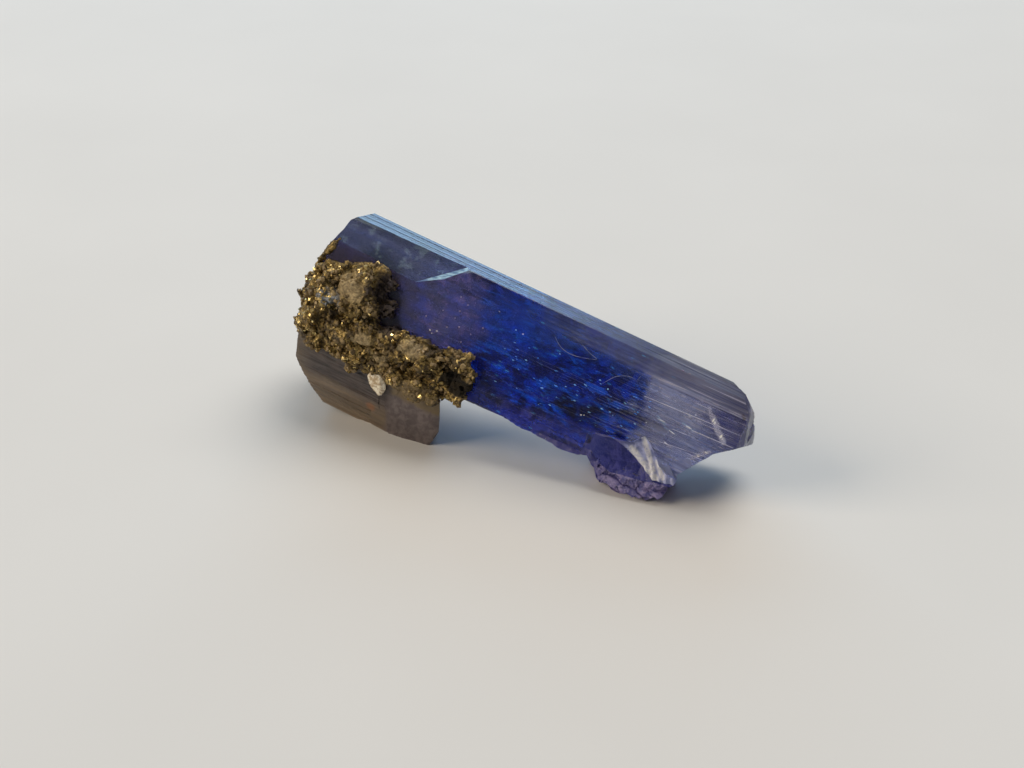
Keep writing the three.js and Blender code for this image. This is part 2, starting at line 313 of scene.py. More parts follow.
def front_point(x, z):
    """The point of the prism's front face at a place along and up the crystal."""
    return Vector((x, FRONT_AT_AXIS * taper(x) + FRONT_SLOPE * z, z))


def growth_steps(along, relief, rng):
    """How a striation rises and falls along the prism, where growth layers end."""
    total = np.zeros_like(along)
    for _ in range(rng.integers(1, 4)):
        start = rng.uniform(0, LENGTH)
        way = np.clip((along - start) / rng.uniform(0.3, 2.5), 0, 1)
        total += relief * rng.uniform(-0.9, 0.9) * way * way * (3 - 2 * way)
    return total


def prism_columns(along, rng):
    """For each point of the prism's outline: where it is, which way is out, and its depths."""
    columns = []
    clearness = np.clip((along - CLEAR_FROM) / (CLEAR_TO - CLEAR_FROM), 0, 1)
    for start, end, strips, relief, left_share in PRISM_FACES:
        first = np.array(CORNERS[start])
        way = np.array(CORNERS[end]) - first
        out = np.array([-way[1], way[0]]) / np.hypot(*way)
        widths = 0.3 + rng.random(strips) ** 2
        edges = np.concatenate([[0], np.cumsum(widths)]) / widths.sum()
        for i in range(strips):
            boldness = relief * (0.12 + 0.88 * rng.random() ** 3)
            height = boldness * (1 if i % 2 else -1)
            depths = height + growth_steps(along, boldness, rng)
            depths *= left_share + (1 - left_share) * clearness
            for share in (STRIP_SLOPE, 1 - STRIP_SLOPE):
                place = first + way * (edges[i] + share * (edges[i + 1] - edges[i]))
                columns.append((place, out, depths))
    return columns


def striated_prism():
    """The uncut prism with its lengthwise striations."""
    along = np.linspace(-OVERRUN, LENGTH + OVERRUN, STATIONS)
    columns = prism_columns(along, np.random.default_rng(7))
    points = np.empty((STATIONS, len(columns), 3))
    for j, (place, out, depths) in enumerate(columns):
        points[:, j, 0] = along
        points[:, j, 1:] = np.outer(taper(along), place) + np.outer(depths, out)
    return lofted("prism", points)


def lofted(name, points):
    """A closed solid through rings of points, given as an array of rings by points by xyz."""
    rings, count = points.shape[:2]
    faces = [
        (s * count + j, (s + 1) * count + j, (s + 1) * count + (j + 1) % count,
         s * count + (j + 1) % count)
        for s in range(rings - 1)
        for j in range(count)
    ]
    faces.append(tuple(range(count)))
    faces.append(tuple((rings - 1) * count + j for j in reversed(range(count))))
    mesh = bpy.data.meshes.new(name)
    mesh.from_pydata(points.reshape(-1, 3), [], faces)
    bm = bmesh.new()
    bm.from_mesh(mesh)
    bmesh.ops.recalc_face_normals(bm, faces=bm.faces)
    bpy.data.meshes.remove(mesh)
    return object_of(name, bm)


SHOULDER_OUT = Vector((0.033, -0.719, 0.694))
STEP_OUT = Vector((-0.385, -0.222, 0.896))


def shoulder_cutter():
    """The facet that takes the bevel off the left third, with a narrow step where the bevel begins."""
    tip = front_point(6.9, 2.35)
    facet = break_cutter(tip, SHOULDER_OUT, relief=0.05, ripple=0.02, seed=3, half=9)
    step = break_cutter(tip, STEP_OUT, relief=0.015, ripple=0, seed=5, half=9)
    return combined(facet, "INTERSECT", [step])


def end_cutters():
    """The broken left end, and the worn faces that end the prism at its clear end."""
    left = [
        ((0, 0, 0), (-1, -0.3, 0.12)),
        ((-0.1, 0, 0.8), (-1, -0.1, 0.42)),
        ((1.3, 1.2, 3.6), (-1, 0.3, 1.1)),
        ((2.6, -2.4, -2.4), (-0.6, -0.55, -0.6)),
    ]
    clear = [
        ((LENGTH, 0, 0), (1, 0.1, 0.15)),
        ((28.1, 1.0, 3.2), (1, 0.3, 0.8)),
        ((26.8, 1.9, 3.2), (0.69, 1, 0.7)),
        (front_point(28.8, 1.2), (1, -0.55, 0.25)),
    ]
    cutters = [break_cutter(p, n, relief=0.15, seed=i) for i, (p, n) in enumerate(left)]
    cutters += [break_cutter(p, n, relief=0.06, seed=20 + i) for i, (p, n) in enumerate(clear)]
    steep = break_cutter(front_point(26.09, -1.73), (0.84, -0.20, -0.55), relief=0.05, seed=23)
    gentle = break_cutter(front_point(27.68, 0.40), (0.60, -0.40, -0.69), relief=0.05, seed=24)
    return cutters + [combined(steep, "INTERSECT", [gentle])]


def fracture_cutters():
    """Scallops and nicks of broken crystal, along the lower front edge and under the stone."""
    rng = random.Random(31)
    nicks = [(13.2, 0.35), (15.4, 0.35), (16.9, 0.3), (18.6, 0.4), (20.0, 0.3)]
    nicks += [(11.0 + 0.62 * i, rng.uniform(0.08, 0.20)) for i in range(18)]
    cutters = [
        scallop_cutter((x, -3.15, -3.0), (size * 1.6, size, size), seed=x, detail=4)
        for x, size in nicks
    ]
    hollows = [
        ((9.5, 1.5, -4.6), (5, 3, 2.1)),
        ((15.4, -0.2, -4.5), (3.4, 2.4, 1.9)),
        ((18.6, 2.6, -4.0), (3.0, 2.2, 2.2)),
        ((22.4, 3.6, -2.6), (2.6, 1.3, 1.6)),
        ((10, 4.6, 1.2), (2.6, 1.2, 1.5)),
        ((16.2, 4.2, -0.6), (1.5, 0.8, 1.2)),
        ((24.5, 4.0, 1.4), (1.8, 0.9, 0.9)),
        ((29.6, 1.4, 1.2), (0.9, 1.6, 1.2)),
        ((1.2, 3.2, 3.4), (1.6, 1.0, 1.0)),
    ]
    cutters += [scallop_cutter(c, r, seed=40 + i) for i, (c, r) in enumerate(hollows)]
    return cutters


# The broken ledge below the clear end, as places along and up the front face.
LEDGE_OUTLINE = [
    (20.5, -2.2), (20.86, -2.66), (21.11, -2.92), (21.57, -3.21), (21.85, -3.62), (22.15, -3.76),
    (22.56, -3.64), (23.01, -3.8), (23.71, -3.74), (24.0, -3.42), (24.2, -3.58), (25.07, -3.6),
    (25.55, -3.16), (25.81, -2.86), (26.05, -2.4), (26.32, -2.06), (26.27, -1.7), (25.4, -1.1),
    (23.8, -0.9), (22.0, -0.9), (20.5, -1.3),
]
LEDGE_MIDDLE = (23.5, -2.4)
LEDGE_REACH = 6.0  # how far it runs back
LEDGE_WAY = Vector((-0.17, 0.79, -0.59))  # which way it runs back
LEDGE_RINGS = 26
LEDGE_POINTS = 150

# Lines across the ledge's front, as places along and up the front face: the upper edge of the pale
# break, the ridge between it and the violet hollow, and the hollow's lower edge.
PALE_EDGE = [
    (21.0, -1.25), (21.5, -1.14), (22.36, -1.06), (22.95, -0.92), (23.3, -0.62), (23.64, -0.28),
    (24.08, -0.55), (24.5, -0.91), (25.09, -1.5), (25.82, -1.8), (26.6, -1.75),
]
RIDGE = [
    (21.0, -1.32), (21.39, -1.27), (21.85, -1.13), (22.57, -1.25), (23.15, -1.45), (23.7, -1.70),
    (24.3, -2.02), (25.0, -2.38), (26.6, -2.1),
]
HOLLOW_EDGE = [
    (21.0, -2.3), (21.56, -2.72), (22.52, -2.98), (23.28, -2.86), (24.08, -2.76), (24.7, -2.64),
    (25.1, -2.5), (26.6, -2.3),
]
LEDGE_LOW = [
    (20.2, -3.1), (21.1, -3.1), (22.15, -3.8), (23.7, -3.8), (25.1, -3.6), (26.3, -2.1),
    (26.6, -2.5),
]


def height_on(line, x):
    return float(np.interp(x, [place[0] for place in line], [place[1] for place in line]))


def ledge_block():
    """The ledge before its front is broken: its outline run back and down, with rough sides."""
    outline = np.array(LEDGE_OUTLINE + LEDGE_OUTLINE[:1])
    lengths = np.concatenate([[0], np.cumsum(np.hypot(*np.diff(outline, axis=0).T))])
    stops = np.linspace(0, lengths[-1], LEDGE_POINTS, endpoint=False)
    places = np.stack([np.interp(stops, lengths, outline[:, i]) for i in (0, 1)], axis=1)
    points = np.empty((LEDGE_RINGS, LEDGE_POINTS, 3))
    for ring, reach in enumerate(np.linspace(-0.15, LEDGE_REACH, LEDGE_RINGS)):
        shrink = 1.0 - 0.35 * max(0.0, reach / LEDGE_REACH - 0.4)
        for j, (x, z) in enumerate(places):
            middle = Vector(LEDGE_MIDDLE)
            x, z = middle + (Vector((x, z)) - middle) * shrink
            point = front_point(x, z) + LEDGE_WAY * reach
            point += (
                0.09 * noise.noise_vector(point / 0.55) + 0.12 * noise.noise_vector(point / 1.4)
            )
            points[ring, j] = point
    return lofted("ledge", points)


RIDGE_DROP = 0.05  # how steeply the hollow falls away below the ridge


def break_column(x):
    """Down one line of the ledge's broken front: each height, and its depth behind the front face."""
    edge, ridge = height_on(PALE_EDGE, x), height_on(RIDGE, x)
    low_edge = min(height_on(HOLLOW_EDGE, x), ridge - 3 * RIDGE_DROP)
    fade = 0.9 * max(0.0, 20.45 - x)
    opened = min(1.0, max(0.0, (x - 21.2) / 2.0))
    column = [(z, max(-0.3, 1.1 * (edge - z)) - fade) for z in np.linspace(0.1, edge, 6)[:-1]]
    for z in np.linspace(edge, ridge, 18):
        down = (edge - z) / (edge - ridge)
        ripples = 0.03 * math.sin(16.0 * math.hypot(x - 22.6, z + 3.4))
        uneven = ripples + 0.07 * fractal(Vector((x, 0, z)), 0.6, 4)
        shell = 0.36 * min(1.0, down / 0.2) * (1.0 - 0.85 * down) * min(1.0, (edge - ridge) / 0.8)
        column.append((z, 0.03 + opened * (shell + uneven) - fade))
    width = ridge - low_edge
    deepest = 0.45 * opened * min(1.0, width / 0.9)
    for z in np.linspace(ridge - RIDGE_DROP, low_edge, 24):
        down = (ridge - z) / width
        smooth = 0.02 * fractal(Vector((x, 0, z)), 0.9, 2)
        column.append((z, 0.04 + 0.08 * opened + deepest * (1.0 - down ** 1.7) + smooth - fade))
    for z in np.linspace(low_edge, -4.1, 30)[1:]:
        below = (low_edge - z) / max(low_edge - height_on(LEDGE_LOW, x), 0.1)
        layers = math.floor(4.0 * fractal(Vector((x, 3, z)), 0.8, 3) + 2.2 * below) / 4.0
        rough = 0.05 * fractal(Vector((x, 0, z)), 0.3, 3)
        raggedness = 0.25 + 0.75 * min(1.0, max(0.0, (x - 20.6) / 0.8))
        uneven = 0.08 + 0.30 * layers + 0.10 * below * below + rough
        column.append((z, 0.04 + raggedness * uneven - fade))
    return column


def front_break_cutter():
    """What is gone from the front of the ledge: a pale shell-shaped break over a violet hollow."""
    columns = [(x, break_column(x)) for x in np.linspace(20.2, 26.6, 168)]
    across, down = len(columns) - 1, len(columns[0][1]) - 1
    bm = bmesh.new()
    bmesh.ops.create_grid(bm, x_segments=across, y_segments=down, size=0.5)
    for vertex in bm.verts:
        x, column = columns[round((vertex.co.x + 0.5) * across)]
        z, depth = column[round((vertex.co.y + 0.5) * down)]
        vertex.co = front_point(x, z) + Vector((0, depth, 0))
    close_behind(bm, 1, -8.0)
    return object_of("front_break", bm)


def ledge_splinters():
    """Thin plates that lie side by side along the ledge's lower edge."""
    rng = random.Random(17)
    splinters = []
    for i in range(11):
        x = 21.15 + 0.40 * i + rng.uniform(-0.12, 0.12)
        low = height_on(LEDGE_LOW, x + 0.2) + rng.uniform(0.04, 0.3)
        high = low + rng.uniform(0.22, 0.45)
        width = rng.uniform(0.45, 0.9)
        corners = []
        for along, up, behind in (
            (0, high, 0.12), (width, high - 0.1, 0.05), (0.1, low + 0.08, 0.02),
            (0.8 * width, low, 0.0),
            (-0.1, high, 0.9), (width, high, 0.9), (0, low, 0.9), (width, low + 0.1, 0.9),
        ):
            corners.append(front_point(x + along, up) + Vector((0, behind - 0.02, 0)))
        splinters.append(rough_shard(corners, seed=70 + i, relief=0.03, cuts=2, size=0.4))
    return splinters


# The ragged lip along the lower front edge, as places along and up the front face.
LOWER_LIP = [
    (15.2, -2.72), (16.4, -2.83), (17.2, -2.80), (18.1, -2.87), (19.2, -2.97), (20.1, -2.86),
    (20.9, -2.72),
]


def lower_lip():
    """Thin shards that carry the lower front edge a little further down, left of the ledge."""
    shards = []
    for i, (start, end) in enumerate(zip(LOWER_LIP, LOWER_LIP[1:])):
        corners = []
        for x, z in (start, end):
            corners.append(front_point(x, z) + Vector((0, 0.04, 0)))
            corners.append(front_point(x, -2.35) + Vector((0, 0.12, 0)))
            corners.append(Vector((x, -1.2, -2.3)))
            corners.append(front_point(x, z + 0.1) + Vector((0, 0.45, 0)))
        shards.append(rough_shard(corners, seed=90 + i, relief=0.05, cuts=3, size=0.4))
    return shards


# What the faces of the crystal are, stored on each as a number.
GROWN, BROKEN, PALE_BREAK, HOLLOW, LEDGE, STEP, SHOULDER = range(7)
FROSTED = (PALE_BREAK, HOLLOW, LEDGE, STEP)


def face_kind(centre, normal, growth_faces):
    if growth_faces.find_nearest(centre)[3] < 0.004:
        return GROWN
    x, _, z = centre
    if x < 10.8 and z > 1.0:
        if normal.dot(STEP_OUT.normalized()) > 0.93:
            return STEP
        return SHOULDER if normal.dot(SHOULDER_OUT) > 0.85 else BROKEN
    if x < 17.5 or z > -0.1 or x > 26.9:
        return BROKEN
    opened = x > 20.75 + 0.45 * fractal(centre, 0.6)
    if z > height_on(RIDGE, x) and opened:
        return PALE_BREAK if z < height_on(PALE_EDGE, x) + 0.08 else BROKEN
    if z > height_on(HOLLOW_EDGE, x) and opened:
        return HOLLOW
    return LEDGE if z < -2.0 else BROKEN


def mark_faces(body, growth_faces):
    """Stores on each face what it is."""
    kinds = [face_kind(face.center, face.normal, growth_faces) for face in body.data.polygons]
    marks = body.data.attributes.new("kind", "FLOAT", "FACE")
    marks.data.foreach_set("value", kinds)


def frost(body):
    """Gives the frosted faces the second material."""
    marks = body.data.attributes["kind"].data
    frosted = [int(round(mark.value) in FROSTED) for mark in marks]
    body.data.polygons.foreach_set("material_index", frosted)


def tanzanite_shape():
    body = striated_prism()
    growth_faces = tree_of(body)
    combined(body, "DIFFERENCE", end_cutters() + [shoulder_cutter()] + fracture_cutters())
    combined(body, "UNION", [ledge_block()] + lower_lip())
    combined(body, "DIFFERENCE", [front_break_cutter()])
    combined(body, "UNION", ledge_splinters())
    combined(body, "DIFFERENCE", [ground_cutter()])
    mark_faces(body, growth_faces)
    return body


# ---- Node trees ---------------------------------------------------------------------------------


class Graph:
    """Places nodes in one node tree. Each method gives back an output socket."""

    def __init__(self, tree):
        self.tree = tree

    def add(self, kind, inputs=(), **settings):
        made = self.tree.nodes.new(kind)
        for name, value in settings.items():
            setattr(made, name, value)
        for name, value in dict(inputs).items():
            self.feed(made.inputs[name], value)
        return made

    def feed(self, socket, value):
        if isinstance(value, bpy.types.NodeSocket):
            self.tree.links.new(value, socket)
        else:
            socket.default_value = value

    def noise(self, vector, scale, detail=3.0, roughness=0.5, distortion=0.0):
        inputs = {
            "Vector": vector, "Scale": scale, "Detail": detail,
            "Roughness": roughness, "Distortion": distortion,
        }
        return self.add("ShaderNodeTexNoise", inputs).outputs["Fac"]

    def cells(self, vector, scale, feature="F1", output="Distance"):
        inputs = {"Vector": vector, "Scale": scale}
        return self.add("ShaderNodeTexVoronoi", inputs, feature=feature).outputs[output]

    def math(self, operation, first, second=0.0):
        made = self.add("ShaderNodeMath", operation=operation)
        self.feed(made.inputs[0], first)
        self.feed(made.inputs[1], second)
        return made.outputs[0]

    def vector_math(self, operation, first, second):
        made = self.add("ShaderNodeVectorMath", operation=operation)
        self.feed(made.inputs[0], first)
        self.feed(made.inputs[1], second)
        return made.outputs[0]

    def smooth(self, value, low, high, to_low=0.0, to_high=1.0):
        """value going smoothly from to_low at low to to_high at high. high may be the lower one."""
        if high < low:
            low, high, to_low, to_high = high, low, to_high, to_low
        inputs = {"Value": value, "From Min": low, "From Max": high}
        inputs.update({"To Min": to_low, "To Max": to_high})
        kind = "ShaderNodeMapRange"
        return self.add(kind, inputs, interpolation_type="SMOOTHSTEP").outputs["Result"]

    def colour(self, factor, first, second, blend="MIX"):
        made = self.add("ShaderNodeMix", data_type="RGBA", blend_type=blend)
        self.feed(made.inputs[0], factor)
        self.feed(made.inputs[6], first)
        self.feed(made.inputs[7], second)
        return made.outputs[2]

    def group(self, tree, inputs):
        made = self.add("ShaderNodeGroup")
        made.node_tree = tree
        for name, value in inputs.items():
            self.feed(made.inputs[name], value)
        return made.outputs


def rgba(red, green, blue):
    return (red, green, blue, 1.0)


def shader_group(name, inputs, outputs):
    """An empty shader node group with its sockets, as (tree, graph, input sockets, output sockets)."""
    tree = bpy.data.node_groups.new(name, "ShaderNodeTree")
    for label, kind, value in inputs:
        made = tree.interface.new_socket(
            name=label, in_out="INPUT", socket_type="NodeSocket" + kind
        )
        if value is not None:
            made.default_value = value
    for label in outputs:
        tree.interface.new_socket(name=label, in_out="OUTPUT", socket_type="NodeSocketFloat")
    graph = Graph(tree)
    return tree, graph, graph.add("NodeGroupInput").outputs, graph.add("NodeGroupOutput").inputs


def lengthwise_lines_group():
    """Fine lines along the prism, as on crystals that grew in steps. Fineness is lines per mm."""
    inputs = [("Vector", "Vector", None), ("Fineness", "Float", 8.0), ("Run", "Float", 5.0)]
    tree, graph, source, result = shader_group(
        "lengthwise_lines", inputs, ["Fine", "Broad", "Height"]
    )
    lengthwise = graph.math("DIVIDE", 1.0, source["Run"])
    stretch = graph.add(
        "ShaderNodeCombineXYZ", {"X": lengthwise, "Y": source["Fineness"], "Z": source["Fineness"]}
    )
    stretched = graph.vector_math("MULTIPLY", source["Vector"], stretch.outputs[0])
    fine = graph.noise(stretched, 1.0, 4.0, 0.7)
    broad = graph.noise(stretched, 0.22, 3.0, 0.6)
    graph.feed(result["Fine"], graph.smooth(fine, 0.38, 0.66))
    graph.feed(result["Broad"], graph.smooth(broad, 0.4, 0.62))
    half_broad = graph.math("MULTIPLY", broad, 0.5)
    graph.feed(result["Height"], graph.math("ADD", fine, half_broad))
    return tree


def crags_group():
    """Angular grains of a given size in millimetres: a tone for each grain, crevices and a height."""
    inputs = [("Vector", "Vector", None), ("Size", "Float", 0.4), ("Wobble", "Float", 0.25)]
    tree, graph, source, result = shader_group("crags", inputs, ["Tone", "Crevice", "Height"])
    scale = graph.math("DIVIDE", 1.0, source["Size"])
    scaled = graph.vector_math("MULTIPLY", source["Vector"], graph.add(
        "ShaderNodeCombineXYZ", {"X": scale, "Y": scale, "Z": scale}).outputs[0])
    wave = graph.add(
        "ShaderNodeTexNoise", {"Vector": scaled, "Scale": 1.3, "Detail": 2.0}
    ).outputs["Color"]
    wobble = graph.add("ShaderNodeVectorMath", operation="SCALE")
    graph.feed(wobble.inputs[0], wave)
    graph.feed(wobble.inputs["Scale"], source["Wobble"])
    place = graph.vector_math("ADD", scaled, wobble.outputs[0])
    cells = graph.add("ShaderNodeTexVoronoi", {"Vector": place, "Scale": 1.0})
    tone = graph.add("ShaderNodeSeparateColor", {"Color": cells.outputs["Color"]}).outputs["Red"]
    edge = graph.cells(place, 1.0, feature="DISTANCE_TO_EDGE")
    fine = graph.noise(scaled, 3.5, 4.0, 0.6)
    graph.feed(result["Tone"], tone)
    graph.feed(result["Crevice"], graph.smooth(edge, 0.14, 0.0))
    rounded = graph.math("SUBTRACT", 1.0, cells.outputs["Distance"])
    raised = graph.math("ADD", rounded, graph.math("MULTIPLY", tone, 0.7))
    graph.feed(result["Height"], graph.math("ADD", raised, graph.math("MULTIPLY", fine, 0.35)))
    return tree


def speckle_group():
    """Scattered small specks, as a mask. Amount from 0 to 1 sets how many there are."""
    inputs = [("Vector", "Vector", None), ("Size", "Float", 0.2), ("Amount", "Float", 0.2)]
    tree, graph, source, result = shader_group("speckle", inputs, ["Mask"])
    scale = graph.math("DIVIDE", 1.0, source["Size"])
    cells = graph.add("ShaderNodeTexVoronoi", {"Vector": source["Vector"], "Scale": scale})
    chosen = graph.add(
        "ShaderNodeSeparateColor", {"Color": cells.outputs["Color"]}
    ).outputs["Green"]
    kept = graph.math("LESS_THAN", chosen, source["Amount"])
    spot = graph.smooth(cells.outputs["Distance"], 0.42, 0.2)
    graph.feed(result["Mask"], graph.math("MULTIPLY", kept, spot))
    return tree


def stroke_group():
    """A soft-edged stroke from one place to another, as a mask."""
    inputs = [
        ("Vector", "Vector", None), ("Start", "Vector", None), ("End", "Vector", None),
        ("Width", "Float", 0.1),
    ]
    tree, graph, source, result = shader_group("stroke", inputs, ["Mask"])
    way = graph.vector_math("SUBTRACT", source["End"], source["Start"])
    offset = graph.vector_math("SUBTRACT", source["Vector"], source["Start"])
    ahead = graph.add(
        "ShaderNodeVectorMath", {0: offset, 1: way}, operation="DOT_PRODUCT"
    ).outputs["Value"]
    whole = graph.add(
        "ShaderNodeVectorMath", {0: way, 1: way}, operation="DOT_PRODUCT"
    ).outputs["Value"]
    share = graph.add("ShaderNodeClamp", {"Value": graph.math("DIVIDE", ahead, whole)}).outputs[0]
    nearest = graph.add(
        "ShaderNodeVectorMath", {0: way, "Scale": share}, operation="SCALE"
    ).outputs[0]
    apart = graph.add(
        "ShaderNodeVectorMath", {0: offset, 1: nearest}, operation="DISTANCE"
    ).outputs["Value"]
    graph.feed(
        result["Mask"], graph.smooth(graph.math("DIVIDE", apart, source["Width"]), 1.0, 0.35)
    )
    return tree


LINES = lengthwise_lines_group()
CRAGS = crags_group()
SPECKLE = speckle_group()
STROKE = stroke_group()


def new_material(name, **plain):
    """A material with a Principled shader whose plain values are set on its own sockets."""
    material = bpy.data.materials.new(name)
    material.use_nodes = True
    shader = material.node_tree.nodes["Principled BSDF"]
    for label, value in plain.items():
        shader.inputs[label.replace("_", " ")].default_value = value
    return material, Graph(material.node_tree), shader.inputs


def crystal_place(graph):
    """Where a point lies in the crystal's frame, in millimetres, from Object coordinates."""
    place = graph.add("ShaderNodeTexCoord").outputs["Object"]
    inputs = {
        "Vector": place,
        "Location": LEFT_BREAK * MM,
        "Rotation": (0, TILT, 0),
        "Scale": (MM, MM, MM),
    }
    return graph.add("ShaderNodeMapping", inputs, vector_type="TEXTURE").outputs["Vector"]


def bump(graph, height, depth, strength=1.0, normal=None):
    """A normal for a height from 0 to 1 that stands for depth millimetres."""
    inputs = {"Height": height, "Distance": depth * MM, "Strength": strength}
    if normal is not None:
        inputs["Normal"] = normal
    return graph.add("ShaderNodeBump", inputs).outputs["Normal"]


def spot_mask(graph, place, centre, radii, soft=0.5):
    """A soft-edged ellipsoid as a mask."""
    offset = graph.vector_math("SUBTRACT", place, centre)
    scaled = graph.vector_math("DIVIDE", offset, radii)
    length = graph.add("ShaderNodeVectorMath", operation="LENGTH")
    graph.feed(length.inputs[0], scaled)
    return graph.smooth(length.outputs["Value"], 1.0 + soft, 1.0 - soft)


# ---- Materials ----------------------------------------------------------------------------------

SMOKE_VIOLET = rgba(0.110, 0.110, 0.195)
MIST_VIOLET = rgba(0.105, 0.115, 0.36)
PINK_MIST = rgba(0.34, 0.25, 0.48)
BROWN_VIOLET = rgba(0.080, 0.055, 0.055)
DEEP_BLUE = rgba(0.0015, 0.030, 0.44)
NAVY = rgba(0.0006, 0.0040, 0.070)
AZURE = rgba(0.004, 0.16, 1.0)
# The colour of the painted glints in the blue part.
GLINT_BLUE = rgba(0.12, 0.60, 1.0)
SHOULDER_BLUE = rgba(0.19, 0.27, 0.54)
SHOULDER_PALE = rgba(0.50, 0.74, 1.0)
# A painted sheen on the upper middle of the blue part.
SHEEN_BLUE = rgba(0.030, 0.10, 0.48)
GREY_LILAC = rgba(0.32, 0.38, 0.62)
MILKY = rgba(0.50, 0.55, 0.74)
ROSE_GREY = rgba(0.40, 0.31, 0.40)
LILAC = rgba(0.038, 0.036, 0.25)
PINK_LILAC = rgba(0.13, 0.11, 0.36)
DARK_VIOLET = rgba(0.028, 0.030, 0.150)
CREAM = rgba(0.92, 0.86, 0.86)
WARM_GREY = rgba(0.58, 0.50, 0.50)
# A painted reflection of the sky-blue window light.
PAINTED_SKY_REFLECTION = rgba(0.62, 0.82, 1.0)
DULL_VIOLET = rgba(0.09, 0.09, 0.15)
SLATE_BLUE = rgba(0.10, 0.15, 0.36)


def times(graph, *values):
    """The product of several values."""
    total = values[0]
    for value in values[1:]:
        total = graph.math("MULTIPLY", total, value)
    return total


def is_kind(graph, kind, *wanted):
    """1 on faces of the wanted kinds, 0 elsewhere."""
    masks = [graph.math("COMPARE", kind, number) for number in wanted]
    total = masks[0]
    for mask in masks[1:]:
        total = graph.math("ADD", total, mask)
    return total


def zone_colour(graph, place, axis):
    """The crystal's colour zones along and across the prism."""
    warp = graph.smooth(graph.noise(place, 0.5, 3.0), 0.2, 0.8, -1.3, 1.3)
    along = graph.math("ADD", axis["X"], warp)
    height = graph.math("ADD", axis["Z"], graph.math("MULTIPLY", warp, 0.5))
    clouds = graph.noise(place, 0.8, 4.0, 0.6, 0.8)
    puffs = graph.noise(place, 1.9, 4.0, 0.6, 0.4)
    drawn_out = graph.vector_math("MULTIPLY", place, (0.7, 2.4, 2.4))
    glow = graph.noise(drawn_out, 1.0, 5.0, 0.7)

    left = graph.colour(graph.smooth(clouds, 0.38, 0.60), SMOKE_VIOLET, MIST_VIOLET)
    mist = times(graph, graph.smooth(puffs, 0.49, 0.63), graph.smooth(along, 6.6, 8.4))
    left = graph.colour(times(graph, mist, 0.6), left, PINK_MIST)
    blue = graph.colour(graph.smooth(clouds, 0.40, 0.56), DEEP_BLUE, NAVY)
    blue = graph.colour(graph.smooth(glow, 0.50, 0.62), blue, AZURE)
    # Painted sheen: the upper middle of the blue part is lighter.
    upper = spot_mask(graph, place, (13.6, -1.0, 2.3), (2.8, 2.5, 1.5))
    blue = graph.colour(times(graph, upper, 0.55), blue, SHEEN_BLUE)
    colour = graph.colour(graph.smooth(along, 9.0, 13.0), left, blue)
    clear = graph.colour(graph.smooth(clouds, 0.42, 0.58), GREY_LILAC, MILKY)
    rosy = times(graph, graph.smooth(glow, 0.50, 0.60), graph.smooth(height, 1.6, 2.8), 0.7)
    clear = graph.colour(rosy, clear, ROSE_GREY)
    colour = graph.colour(graph.smooth(along, 22.2, 23.3), colour, clear)

    edge = times(graph, graph.smooth(height, -1.0, -2.2), graph.smooth(along, 11.0, 14.0))
    frosted = graph.colour(graph.smooth(puffs, 0.48, 0.62), LILAC, PINK_LILAC)
    colour = graph.colour(
        times(graph, edge, graph.smooth(axis["X"], 25.5, 24.5), 0.85), colour, frosted
    )

    stained = times(graph, graph.smooth(along, 6.6, 5.4), graph.smooth(axis["Z"], 3.0, 2.2))
    colour = graph.colour(times(graph, stained, 0.8), colour, BROWN_VIOLET)
    # A milky patch just past the blue part: partly the crystal's own haze, partly a painted highlight.
    haze = spot_mask(graph, place, (23.9, -1.0, 2.0), (1.5, 2.0, 1.1))
    colour = graph.colour(times(graph, haze, graph.smooth(along, 22.2, 23.3), 0.7), colour, MILKY)
    tip = spot_mask(graph, place, (28.1, -0.6, 2.1), (1.7, 2.5, 1.5))
    colour = graph.colour(tip, colour, DARK_VIOLET)
    end = graph.smooth(axis["X"], 27.7, 28.5)
    colour = graph.colour(times(graph, end, 0.85), colour, DARK_VIOLET)
    margin = times(graph, graph.smooth(height, 1.9, 2.9), graph.smooth(along, 13.0, 16.5))
    streaky = times(
        graph, margin, graph.smooth(along, 23.0, 22.0), graph.smooth(glow, 0.36, 0.58, 0.25, 0.7)
    )
    colour = graph.colour(streaky, colour, SLATE_BLUE)
    # Painted shade: the crystal is darkened to near black beside the crust's lower right lobe.
    shade_beside_crust = spot_mask(graph, place, (13.2, -2.6, -1.8), (1.6, 1.4, 1.3))
    colour = graph.colour(times(graph, shade_beside_crust, 0.9), colour, rgba(0.012, 0.011, 0.034))
    top = times(graph, graph.smooth(axis["Z"], 2.75, 3.15), graph.smooth(axis["X"], 17.0, 24.0))
    return graph.colour(times(graph, top, 0.75), colour, DULL_VIOLET)


def line_marks(graph, place, axis, lines, grown, colour):
    """Growth lines: faint on the blue part, bold and pale on the clear part."""
    bold = graph.smooth(axis["X"], 21.8, 24.0, 0.0, 0.26)
    colour = graph.colour(times(graph, lines["Fine"], bold, grown), colour, WARM_GREY)
    sparse = graph.vector_math("MULTIPLY", place, (0.16, 7.0, 7.0))
    streak_noise = graph.noise(sparse, 1.0, 2.0, 0.5)
    bolder = graph.smooth(axis["X"], 21.8, 24.0, 0.0, 0.85)
    pale = times(graph, graph.smooth(streak_noise, 0.62, 0.66), bolder, grown)
    colour = graph.colour(pale, colour, CREAM)
    dark = times(graph, graph.smooth(streak_noise, 0.46, 0.36), bolder, grown, 0.6)
    return graph.colour(dark, colour, DARK_VIOLET)
